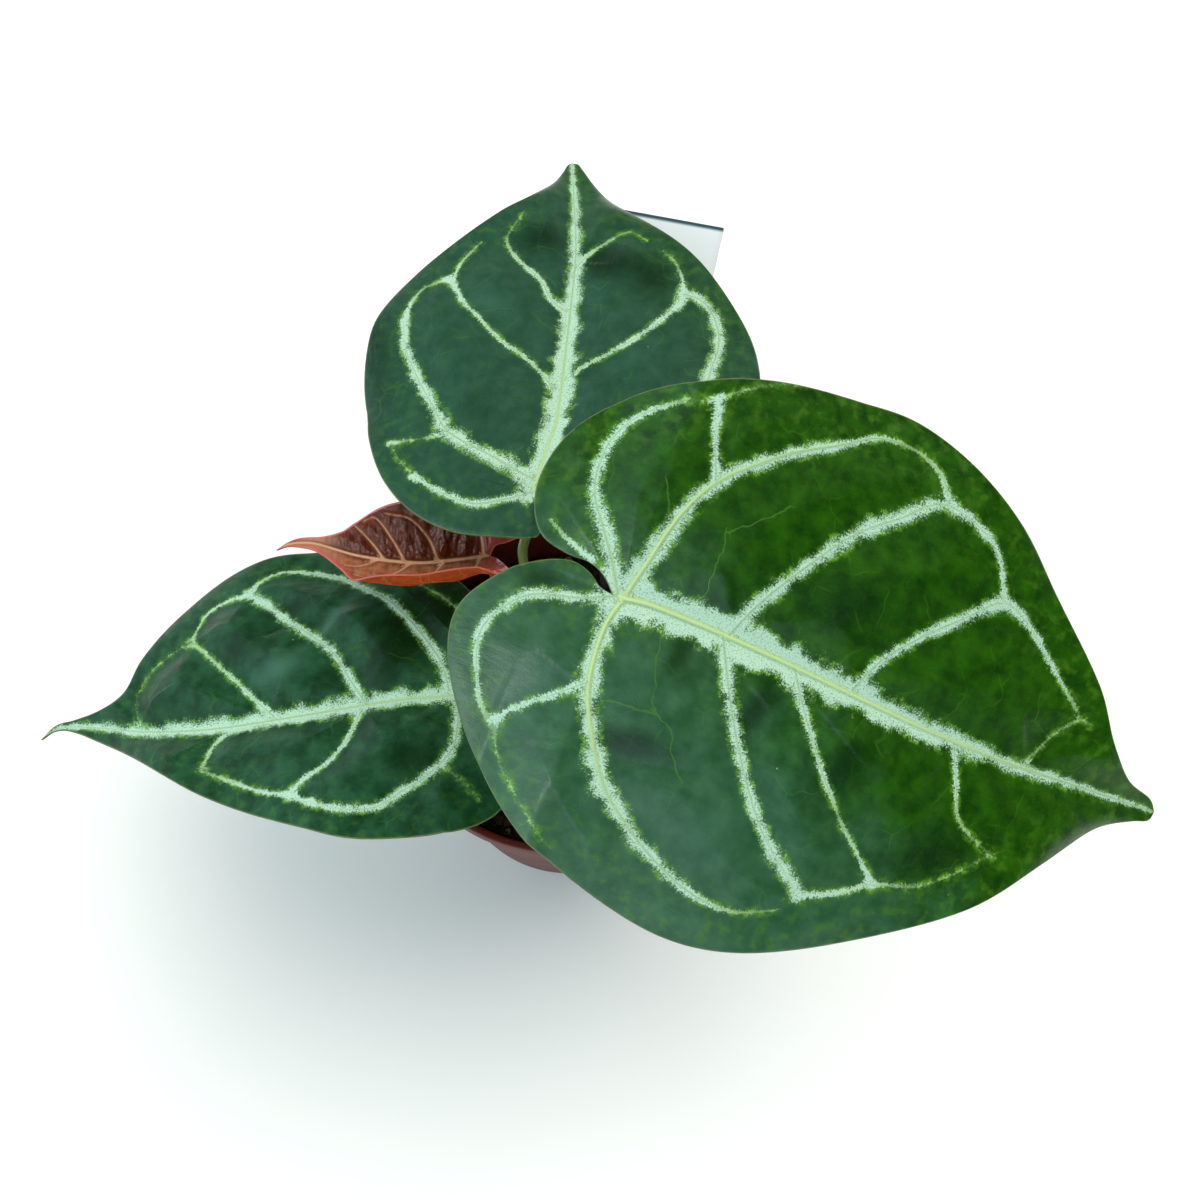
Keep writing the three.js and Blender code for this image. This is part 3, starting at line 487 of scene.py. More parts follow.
def blade(name, leaf):
    """A leaf's blade: fine upper and lower sheets round one flat grid, with its vein fields."""
    share = 1
    rays = int(leaf["rays"] * share)
    steps = int(leaf["steps"] * share)
    left, left_out, left_curve = half_grid(leaf, "left", rays, steps)
    right, right_out, right_curve = half_grid(leaf, "right", rays, steps)
    place = np.concatenate([left[:, ::-1], right[:, 1:]], axis=1)
    out = np.concatenate([left_out[:, ::-1], right_out[:, 1:]], axis=1)
    rows, columns = out.shape
    flat = place.reshape(-1, 2)
    x, y, out = flat[:, 0], flat[:, 1], out.ravel()
    field = vein_field(leaf, x, y)
    rim = [nearest_on_path(curve[::8], flat)[0] for curve in (left_curve, right_curve)]
    field["rim"] = np.minimum(*rim)
    # Painted shade and sheen: the spots, stored for the colour of the upper face.
    field["painted_shade_and_sheen"] = spots(leaf["spots"], x, y)
    centre = relief(leaf, x, y, out, field["near"])
    centre += ROUGHNESS * unevenness(x, y, leaf["phase"]) * np.minimum(1, np.abs(y) / 6) * (1 - out ** 4)
    half_thick = BLADE_THICKNESS / 2
    crest = CREST_HEIGHT * field["ridge"] * np.exp(-(field["line_near"] / CREST_WIDTH) ** 2)
    rib_width = RIB_WIDTHS[0] + RIB_WIDTHS[1] * field["ridge"]
    rib = RIB_HEIGHT * field["ridge"] * np.exp(-(field["line_near"] / rib_width) ** 2)
    upper = bend(leaf, x, y, centre + half_thick + crest).reshape(rows, columns, 3)
    lower = bend(leaf, x, y, centre - half_thick - rib).reshape(rows, columns, 3)
    inner = bend(leaf, x + (np.clip(x, 0, 0.9 * leaf["length"]) - x) * 0.02, y * 0.98, centre)
    middle = bend(leaf, x, y, centre)
    outward = middle - inner
    outward /= np.maximum(np.linalg.norm(outward, axis=1), 0.01)[:, None]
    middle = (middle + outward * half_thick * EDGE_BULGE).reshape(rows, columns, 3)

    def looped(over, edge, under):
        return np.concatenate([over, edge[:, -1:], under[:, ::-1], edge[:, :1]], axis=1)

    points = looped(upper, middle, lower).reshape(-1, 3)
    quads, kinds = loop_faces(rows, columns)
    size = 2 * columns + 2
    first = len(points)
    low = 2 * columns - np.arange(columns)
    across = np.arange(columns - 1)
    back = first + np.arange(columns)
    cap = np.vstack([np.stack([across + 1, across, back[:-1], back[1:]], axis=-1),
                     np.stack([back[1:], back[:-1], low[:-1], low[1:]], axis=-1)])
    points = np.vstack([points, middle[0]])
    quads = np.vstack([quads, cap])
    kinds = np.concatenate([kinds, np.full(len(cap), 2)])
    piece = mesh_object(name + "_blade", points, quads)
    piece.data.polygons.foreach_set("material_index", kinds.astype(np.int32))

    def spread(values):
        grid = values.reshape(rows, columns)
        return np.concatenate([looped(grid, grid, grid).ravel(), grid[0]])

    flat3 = np.stack([spread(x), spread(y), np.zeros(rows * size + columns)], axis=-1)
    store(piece, "flat", flat3, "FLOAT_VECTOR")
    for key, values in field.items():
        store(piece, key, spread(values))
    merge_points(piece)
    return piece


# Round and flat bodies
def fan_faces(ring, pole, forward):
    ahead = np.roll(ring, -1)
    return [[a, b, pole] if forward else [b, a, pole] for a, b in zip(ring.tolist(), ahead.tolist())]


def ringed(name, rings, first_pole, last_pole):
    """A closed body from equal rings of points, with a pole at each end."""
    rings = np.asarray(rings)
    count, sides = rings.shape[:2]
    here = np.arange(sides)
    ahead = (here + 1) % sides
    row = np.arange(count - 1)[:, None] * sides
    quads = np.stack([row + here, row + ahead, row + sides + ahead, row + sides + here], axis=-1)
    points = np.vstack([rings.reshape(-1, 3), [first_pole, last_pole]])
    poles = count * sides
    faces = quads.reshape(-1, 4).tolist()
    faces += fan_faces(here, poles, False)
    faces += fan_faces(here + (count - 1) * sides, poles + 1, True)
    return mesh_object(name, points, faces)


def store_place(piece):
    """Keeps each point's place in millimetres for the materials."""
    places = np.empty(len(piece.data.vertices) * 3)
    piece.data.vertices.foreach_get("co", places)
    store(piece, "flat", places / MM, "FLOAT_VECTOR")


STALK_SIDES = 28
STALK_STEPS = 120
STALK_GROOVE = 0.16


def tube(name, path, radii):
    """A closed round stalk along a path, with its radius through knots and a groove on one side."""
    steps = STALK_STEPS
    share = np.linspace(0, 1, steps + 1)
    line = at_share(smooth_curve(path), share)
    tangent = np.gradient(line, axis=0)
    tangent /= np.linalg.norm(tangent, axis=1)[:, None]
    normal = unit(np.cross(tangent[0], np.cross(-line[0] * (1, 1, 0), tangent[0])))
    turn = 2 * math.pi * np.arange(STALK_SIDES) / STALK_SIDES
    bare = np.minimum(turn, 2 * math.pi - turn)
    radius = through_knots(radii, share)
    rings = []
    rounds = []
    lengths = arc_lengths(line)
    for i in range(steps + 1):
        normal = unit(normal - tangent[i] * normal.dot(tangent[i]))
        binormal = np.cross(tangent[i], normal)
        dip = 1 - STALK_GROOVE * math.sin(math.pi * min(1, 1.15 * share[i])) * np.exp(-(bare / 0.42) ** 2)
        size = radius[i] * dip * (1 + 0.02 * np.sin(3 * turn + 5 * share[i]))
        rings.append(line[i] + size[:, None] * (np.cos(turn)[:, None] * normal
                                                + np.sin(turn)[:, None] * binormal))
        rounds.append(np.stack([radius[i] * np.cos(turn), radius[i] * np.sin(turn),
                                np.full(STALK_SIDES, lengths[i])], axis=-1))
    piece = ringed(name, rings, line[0], line[-1])
    places = np.vstack([np.vstack(rounds), [0, 0, 0], [0, 0, lengths[-1]]])
    store(piece, "flat", places, "FLOAT_VECTOR")
    store(piece, "share", np.concatenate([np.repeat(share, STALK_SIDES), [0, 1]]))
    return piece


def round_corners(profile, radius, bends=4):
    """A profile with its inner corners rounded off."""
    result = [profile[0]]
    for before, corner, after in zip(profile, profile[1:], profile[2:]):
        before, corner, after = (np.array(point, dtype=float) for point in (before, corner, after))
        back = before - corner
        ahead = after - corner
        reach = min(radius, 0.45 * np.linalg.norm(back), 0.45 * np.linalg.norm(ahead))
        start = corner + unit(back) * reach
        end = corner + unit(ahead) * reach
        for k in range(bends + 1):
            t = k / bends
            result.append(tuple((1 - t) ** 2 * start + 2 * t * (1 - t) * corner + t * t * end))
    return result + [profile[-1]]


def lathe(name, profile, sides):
    """A closed body of revolution. The profile starts and ends on the axis."""
    turn = 2 * math.pi * np.arange(sides) / sides
    rings = [np.stack([r * np.cos(turn), r * np.sin(turn), np.full(sides, z)], axis=-1)
             for r, z in profile[1:-1]]
    return ringed(name, rings, (0, 0, profile[0][1]), (0, 0, profile[-1][1]))


# Pot
POT_HEIGHT = 100
POT_BASE_RADIUS = 42
POT_TOP_RADIUS = 58.4
RIM_RADIUS = 60.2
RIM_WIDTH = 2
RIM_GROOVE = 94.8
POT_WALL = 1.6
POT_FLOOR = 2.2
HOLES = 5
HOLE_RADIUS = 4.5
HOLE_CIRCLE = 27
CORNER_RADIUS = 0.6
POT_SIDES = 176


def wall_radius(z):
    return POT_BASE_RADIUS + (POT_TOP_RADIUS - POT_BASE_RADIUS) * z / POT_HEIGHT


def make_pot():
    profile = [
        (0, 0), (wall_radius(0) - 0.6, 0), (wall_radius(8), 8),
        (wall_radius(RIM_GROOVE) - 0.1, RIM_GROOVE), (RIM_RADIUS, RIM_GROOVE),
        (RIM_RADIUS, POT_HEIGHT), (RIM_RADIUS - RIM_WIDTH, POT_HEIGHT),
        (RIM_RADIUS - RIM_WIDTH - 0.5, POT_HEIGHT - 1.2), (wall_radius(POT_HEIGHT) - POT_WALL, 96),
        (wall_radius(50) - POT_WALL, 50), (wall_radius(POT_FLOOR) - POT_WALL, POT_FLOOR), (0, POT_FLOOR),
    ]
    facets = POT_SIDES
    pot = lathe("pot_body", round_corners(profile, CORNER_RADIUS), facets)
    for k in range(HOLES):
        turn = 2 * math.pi * (k + 0.5) / HOLES
        drill = lathe("drill", [(0, -2), (HOLE_RADIUS, -2), (HOLE_RADIUS, 5), (0, 5)], 32)
        drill.location = Vector((math.cos(turn), math.sin(turn), 0)) * HOLE_CIRCLE * MM
        cut = pot.modifiers.new("hole", "BOOLEAN")
        cut.object = drill
        cut.operation = "DIFFERENCE"
        bpy.context.view_layer.update()
        whole = pot.evaluated_get(bpy.context.evaluated_depsgraph_get())
        pot.data = bpy.data.meshes.new_from_object(whole)
        pot.modifiers.clear()
        bpy.data.objects.remove(drill)
    store_place(pot)
    dress(pot, ["pot"], [pot_plastic()])


# Soil
SOIL_TOP = 88
SOIL_GAP = 0.3
SOIL_RADIUS = wall_radius(SOIL_TOP) - POT_WALL - SOIL_GAP
SOIL_SIDES = 96
SOIL_RINGS = 34
CHIPS = 900
CHIP_RANGE = 54.5
CHIP_SIDES = 6
CHIP_LENGTHS = (1.6, 4.6)
CHIP_LENGTH_AT_WALL = 1.4
CHIP_LEAN = 0.3
CROWN_CLEAR = 9.5


def soil_lump(x, y):
    wide = np.sin(x * 0.31 + 1) * np.cos(y * 0.27)
    return 1.6 * (wide + 0.5 * np.sin(x * 0.73 - y * 0.61))


def make_soil():
    """A lumpy body that fills the pot."""
    bottom = POT_FLOOR + SOIL_GAP
    inner_bottom = wall_radius(bottom) - POT_WALL - SOIL_GAP
    turn = 2 * math.pi * np.arange(SOIL_SIDES) / SOIL_SIDES
    rings = [(inner_bottom, bottom), (SOIL_RADIUS, SOIL_TOP - 0.2)]
    rings += [(radius, SOIL_TOP) for radius in np.linspace(SOIL_RADIUS - 0.6, 1, SOIL_RINGS)]
    body = []
    for radius, z in rings:
        x, y = radius * np.cos(turn), radius * np.sin(turn)
        grain = unevenness(x / 1.5, y / 1.5, 3.0)
        fade = (1 - radius / SOIL_RADIUS) ** 0.3 if z == SOIL_TOP else 0
        body.append(np.stack([x, y, z + fade * (soil_lump(x, y) + 0.6 * grain)], axis=-1))
    soil = ringed("soil_body", body, (0, 0, bottom), (0, 0, SOIL_TOP))
    store_place(soil)
    dress(soil, ["soil"], [soil_earth()])


def make_chips():
    """Loose bark chips on the soil, each a flat, uneven block with six sides."""
    chance = random.Random(RANDOM_SEED)
    points, faces, tones = [], [], []
    corners = 2 * CHIP_SIDES
    sides = range(CHIP_SIDES)
    while len(tones) < CHIPS * corners:
        radius = CHIP_RANGE * math.sqrt(chance.random())
        angle = chance.uniform(0, 2 * math.pi)
        x, y = radius * math.cos(angle), radius * math.sin(angle)
        if radius < CROWN_CLEAR:
            continue
        long = chance.uniform(*CHIP_LENGTHS)
        if radius + long > CHIP_RANGE + 1:
            long = CHIP_LENGTH_AT_WALL
        wide = long * chance.uniform(0.4, 0.8)
        thick = wide * chance.uniform(0.35, 0.7)
        lean = Vector((chance.gauss(0, CHIP_LEAN), chance.gauss(0, CHIP_LEAN), 1))
        spin = lean.to_track_quat("Z", "Y").to_matrix()
        yaw = chance.uniform(0, 2 * math.pi)
        lump = float(soil_lump(x, y)) * (1 - radius / SOIL_RADIUS) ** 0.3
        height = SOIL_TOP + lump + thick * 0.4
        first = len(points)
        for level, share in ((-1, 0.85), (1, chance.uniform(0.6, 0.95))):
            for k in sides:
                turn = 2 * math.pi * k / CHIP_SIDES
                local = Vector((long * share * math.cos(turn) * chance.uniform(0.8, 1.1),
                                wide * share * math.sin(turn) * chance.uniform(0.75, 1.15),
                                level * thick * chance.uniform(0.3, 0.55)))
                local.rotate(Euler((0, 0, yaw)))
                place = spin @ local
                points.append((x + place.x, y + place.y, height + place.z))
        tones += [chance.random()] * corners
        faces.append([first + CHIP_SIDES - 1 - k for k in sides])
        faces.append([first + CHIP_SIDES + k for k in sides])
        for k in sides:
            ahead = (k + 1) % CHIP_SIDES
            faces.append([first + k, first + ahead, first + CHIP_SIDES + ahead, first + CHIP_SIDES + k])
    chips = mesh_object("soil_chips", points, faces, smooth=False)
    store(chips, "tone", np.array(tones))
    store_place(chips)
    dress(chips, [], [soil_bark()])


# Crown, stalks and dry sheaths
CROWN_RADIUS = 8
CROWN_BOTTOM = 64
CROWN_TOP = 96
STALK_SINK = 2.2
STALK_APPROACH = 9
STALK_RADII = [(0, 2.3), (0.12, 1.9), (0.5, 1.7), (0.86, 1.8), (0.94, 2.3), (1, 1.9)]
YOUNG_RADII = [(0, 2), (0.12, 1.6), (0.5, 1.4), (0.86, 1.4), (0.94, 1.7), (1, 1.4)]
STALK_SKIN = ((0.10, 0.15, 0.025), (0.22, 0.27, 0.06))
YOUNG_SKIN = ((0.12, 0.035, 0.012), (0.22, 0.09, 0.025))
CROWN_SKIN = ((0.10, 0.07, 0.02), (0.16, 0.17, 0.04))
STALKS = {
    "stalk_front": ("leaf_front", STALK_RADII,
                    [(5.2, -2, 96.5), (8, -2, 118), (12.5, -4, 150), (16.5, -7, 176)]),
    "stalk_back": ("leaf_back", STALK_RADII,
                   [(0.8, 5.2, 96.5), (-3.5, 17, 106), (-11, 31, 113), (-13.4, 38.5, 122),
                    (-11, 41.5, 134)]),
    "stalk_left": ("leaf_left", STALK_RADII, [(-5.2, -2.4, 96.5), (-10.5, -6, 107), (-20, -11, 114)]),
    "stalk_young": ("leaf_young", YOUNG_RADII, [(-3.8, 3, 96.5), (-9.5, 10, 106.5), (-18.5, 21, 115)]),
}
SHEATH_EDGE = [(0, 0), (0.6, 2), (3, 3.4), (14, 3.3), (26, 1.8), (34, 0)]
SHEATH = dict(
    length=34, droop=0.006, left=(0.5, 0.2, -0.12), right=(0.5, 0.2, -0.12), midrib=[(0, 0), (34, 0)],
    left_edge=SHEATH_EDGE, right_edge=[(x, -y) for x, y in SHEATH_EDGE],
    left_back=0.08, right_back=0.08, fan=0.15, rays=90, steps=14, quilt=0, spread=1, wave=0.3,
    wavelength=18, phase=0, midrib_widths=[0.8, 0.3], midrib_ridge=0.4, veins=[], dents=[],
    spots=[],
)
SHEATHS = {
    "sheath_front": dict(SHEATH, attach=(-0.6, -6.2, 96.9), along=(-0.05, -0.4, 0.9), up=(0, 0.9, 0.4)),
    "sheath_right": dict(SHEATH, attach=(6, 3.3, 96.9), along=(0.35, 0.22, 0.9), up=(-0.75, -0.5, 0.45)),
}


def make_crown():
    """A short knobbly stem with the ringed scars of old leaves."""
    heights = np.linspace(CROWN_BOTTOM + 5, CROWN_TOP - 1.4, 60)
    profile = [(0, CROWN_BOTTOM), (CROWN_RADIUS * 0.6, CROWN_BOTTOM)]
    profile += [(CROWN_RADIUS - 0.25 + 0.22 * math.sin(z * 1.7) - 0.1 * math.cos(z * 4.3), z)
                for z in heights.tolist()]
    profile += [(CROWN_RADIUS - 1.2, CROWN_TOP - 0.3), (CROWN_RADIUS - 2.6, CROWN_TOP),
                (3, CROWN_TOP + 0.1), (0, CROWN_TOP)]
    crown = lathe("crown_body", profile, 64)
    store_place(crown)
    dress(crown, ["crown"], [plant_skin("crown_skin", *CROWN_SKIN)])


def make_stalks():
    for name, (leaf_name, radii, points) in STALKS.items():
        leaf = LEAVES[leaf_name]
        end = bend(leaf, np.array(1.5), np.array(0.0), -0.3)
        below = bend(leaf, np.array(0.0), np.array(0.0), -0.4 - STALK_APPROACH)
        root = np.array(points[0]) - (0, 0, STALK_SINK)
        upright = np.array(points[0]) + (0, 0, 4)
        stalk = tube(name + "_body", [root, upright, *points[1:], below, end], radii)
        colours = YOUNG_SKIN if leaf_name == "leaf_young" else STALK_SKIN
        dress(stalk, [name], [plant_skin(name + "_skin", *colours)])


def make_sheaths():
    for name, sheath in SHEATHS.items():
        paper = dry_paper(name + "_paper")
        dress(blade(name, sheath), [name], [paper, paper, paper])


# Label
LABEL_TOP = (38.3, 175.8)
LABEL_BACK = (0.224, 0.9746)
LABEL_THICKNESS = 0.8
LABEL_STATIONS = [
    (0, 131, 22, 0), (76, 112.1, 22, 0), (82, 110.6, 20, 0.5), (88, 109.1, 6, 1.5), (112, 103.3, 5, 6),
    (118, 101.8, 5, 7.2), (124, 100.8, 5, 8.2), (128, 98.4, 5, 8.8), (133, 92.5, 5, 9.5),
    (140, 82, 4, 10.5), (146, 72, 1.5, 11.2),
]


def make_label():
    """A thin card with rounded edges, on a stem that bends down into the soil."""
    stations = np.array(LABEL_STATIONS)
    top_edge = [0, 0.15, 0.4, 0.8, 1.3, 2]
    distance = np.concatenate([top_edge, np.linspace(3, 74, 30), np.linspace(75, 146, 96)])
    z, half, shift = (np.interp(distance, stations[:, 0], stations[:, k]) for k in (1, 2, 3))
    kernel = np.array([0.25, 0.5, 0.25])
    for _ in range(6):
        z[7:-1] = np.convolve(z, kernel, mode="same")[7:-1]
        half[7:-1] = np.convolve(half, kernel, mode="same")[7:-1]
    half[:3] = (21.75, 21.92, 22)
    back = np.array([*unit(LABEL_BACK), 0])
    across = np.array([back[1], -back[0], 0])
    centre = np.array([*LABEL_TOP, 0]) - back * distance[:, None] + across * shift[:, None]
    centre[:, 2] = z
    run = np.gradient(centre, axis=0)
    normal = np.cross(across, run)
    normal /= np.linalg.norm(normal, axis=1)[:, None]
    thick = np.full(len(distance), LABEL_THICKNESS / 2)
    thick[:3] = (0.25, 0.35, 0.4)
    shares = np.linspace(-1, 1, 15)
    section = [(w, 1) for w in shares] + [(1, 0)] + [(w, -1) for w in shares[::-1]] + [(-1, 0)]
    rings = []
    flats = []
    for i in range(len(distance)):
        inset = half[i] - 0.25
        width = np.array([w * (half[i] if h == 0 else inset) for w, h in section])
        rise = np.array([h * thick[i] for w, h in section])
        rings.append(centre[i] + width[:, None] * across + rise[:, None] * normal[i])
        flats.append(np.stack([width, np.full(len(width), distance[i]), rise], axis=-1))
    label = ringed("label_card", rings, centre[0], centre[-1])
    store(label, "flat", np.vstack(flats + [[0, 0, 0], [0, distance[-1], 0]]), "FLOAT_VECTOR")
    dress(label, ["label"], [label_card()])


# Materials
class Value:
    """A node's output. Plus, minus and times add a Math node after it."""

    def __init__(self, nodes, socket):
        self.nodes = nodes
        self.socket = socket
        self.kind = socket.type

    def __add__(self, other):
        return self.nodes.math("ADD", self, other)

    def __radd__(self, other):
        return self.nodes.math("ADD", other, self)

    def __sub__(self, other):
        return self.nodes.math("SUBTRACT", self, other)

    def __rsub__(self, other):
        return self.nodes.math("SUBTRACT", other, self)

    def __mul__(self, other):
        return self.nodes.math("MULTIPLY", self, other)


class Nodes:
    """Each method adds a node to a node tree and gives back its output as a Value."""

    def __init__(self, tree):
        self.tree = tree
        self.tree.nodes.clear()
        self.place = None

    def put(self, socket, value):
        if isinstance(value, Value):
            self.tree.links.new(value.socket, socket)
        elif isinstance(value, tuple) and len(value) == 3 and socket.type == "RGBA":
            socket.default_value = (*value, 1)
        else:
            socket.default_value = value

    def node(self, kind, inputs, output=0, **settings):
        node = self.tree.nodes.new("ShaderNode" + kind)
        for key, value in settings.items():
            setattr(node, key, value)
        for key, value in inputs.items():
            self.put(node.inputs[key], value)
        return Value(self, node.outputs[output])

    def attribute(self, name, output="Fac"):
        return self.node("Attribute", {}, output, attribute_name=name)

    def math(self, operation, a, b=0.0):
        return self.node("Math", {0: a, 1: b}, operation=operation)

    def fade(self, value, low, high, start=0.0, end=1.0):
        """A smooth step from start at low to end at high."""
        return self.node("MapRange", {"Value": value, "From Min": low, "From Max": high, "To Min": start,
                                      "To Max": end}, interpolation_type="SMOOTHSTEP")

    def mix(self, share, a, b):
        """A blend of two numbers or of two colours."""
        if any(isinstance(value, tuple) or getattr(value, "kind", "") == "RGBA" for value in (a, b)):
            return self.node("Mix", {0: share, 6: a, 7: b}, 2, data_type="RGBA")
        return self.node("Mix", {0: share, 2: a, 3: b}, 0, data_type="FLOAT")

    def tint(self, colour, other, value, low, high, strength=1.0):
        """A colour that turns into another one, up to a strength, as a value goes from low to high."""
        return self.mix(self.fade(value, low, high, 0.0, strength), colour, other)

    def noise(self, scale, detail=2.0, roughness=0.5, place=None):
        return self.node("TexNoise", {"Vector": place or self.place, "Scale": scale, "Detail": detail,
                                      "Roughness": roughness})

    def cells(self, scale):
        """The distance to the middle of the nearest of many scattered cells."""
        return self.node("TexVoronoi", {"Vector": self.place, "Scale": scale}, "Distance")

    def net(self, scale, wobble, reach):
        """The distance to the nearest border in a wobbly net of cells."""
        return self.node("TexVoronoi", {"Vector": self.warped(wobble, reach), "Scale": scale}, "Distance",
                         feature="DISTANCE_TO_EDGE")

    def combine(self, x, y):
        return self.node("CombineXYZ", {0: x, 1: y})

    def part(self, k):
        return self.node("SeparateXYZ", {0: self.place}, k)

    def along(self, direction):
        return self.node("VectorMath", {0: self.place, 1: direction}, "Value", operation="DOT_PRODUCT")

    def stretched(self, scales):
        return self.node("VectorMath", {0: self.place, 1: scales}, operation="MULTIPLY")

    def warped(self, scale, reach):
        """The place, shifted by soft noise."""
        offset = self.node("TexNoise", {"Vector": self.place, "Scale": scale, "Detail": 1.0}, 1)
        step = self.node("VectorMath", {0: offset, "Scale": reach}, operation="SCALE")
        return self.node("VectorMath", {0: self.place, 1: step}, operation="ADD")

    def signed(self, plain, signed):
        """A distance that is exact close to a line, where its signed value crosses zero."""
        return self.mix(self.fade(plain, 1.7, 1.1), plain, self.math("ABSOLUTE", signed))

    def bump(self, height):
        """A normal from a height in millimetres."""
        return self.node("Bump", {"Height": height, "Distance": MM, "Strength": 1.0})


class Shader(Nodes):
    """A material with one surface node. Its place is the point stored with the piece, in millimetres."""

    def __init__(self, name):
        self.material = bpy.data.materials.new(name)
        self.material.use_nodes = True
        super().__init__(self.material.node_tree)
        output = self.tree.nodes.new("ShaderNodeOutputMaterial")
        self.surface = self.tree.nodes.new("ShaderNodeBsdfPrincipled")
        self.tree.links.new(self.surface.outputs[0], output.inputs["Surface"])
        self.place = self.attribute("flat", "Vector")

    def finish(self, colour, roughness, normal=None, **sockets):
        self.put(self.surface.inputs["Base Color"], colour)
        self.put(self.surface.inputs["Roughness"], roughness)
        if normal is not None:
            self.put(self.surface.inputs["Normal"], normal)
        for key, value in sockets.items():
            self.put(self.surface.inputs[key.replace("_", " ").title().replace("Ior", "IOR")], value)
        return self.material


def band(s):
    """How far inside a vein's frayed band a place is, how much silver lies there, and its grain."""
    vein = s.attribute("vein")
    distance = s.signed(s.attribute("near"), vein)
    half = s.attribute("half")
    coast = s.noise(0.6, 4.0, 0.65)
    streaks = s.noise(1.0, 2.0, 0.6, place=s.combine(s.attribute("run") * 2.6, vein * 0.55))
    grain = s.noise(1.9, 2.0, 0.7)
    blots = s.fade(s.noise(0.16, 2.0), 0.32, 0.68)
    reach = half * (0.75 + blots * 0.55) - distance
    reach += s.attribute("web") * 0.8
    teeth = (coast - 0.5) * 2.4 + (streaks - 0.5) * 2.6
    inside = reach + teeth * s.fade(half, 0.5, 5.0, 0.75, 1.35)
    wide = s.fade(half, 0.5, 3.0)
    density = s.fade(inside, s.mix(wide, -0.5, -1.2), s.mix(wide, 0.7, 2.8))
    cover = s.fade(grain + density * 0.42, 0.6, 0.86) * s.fade(density, 0.0, 0.15)
    return distance, inside, density, cover, grain


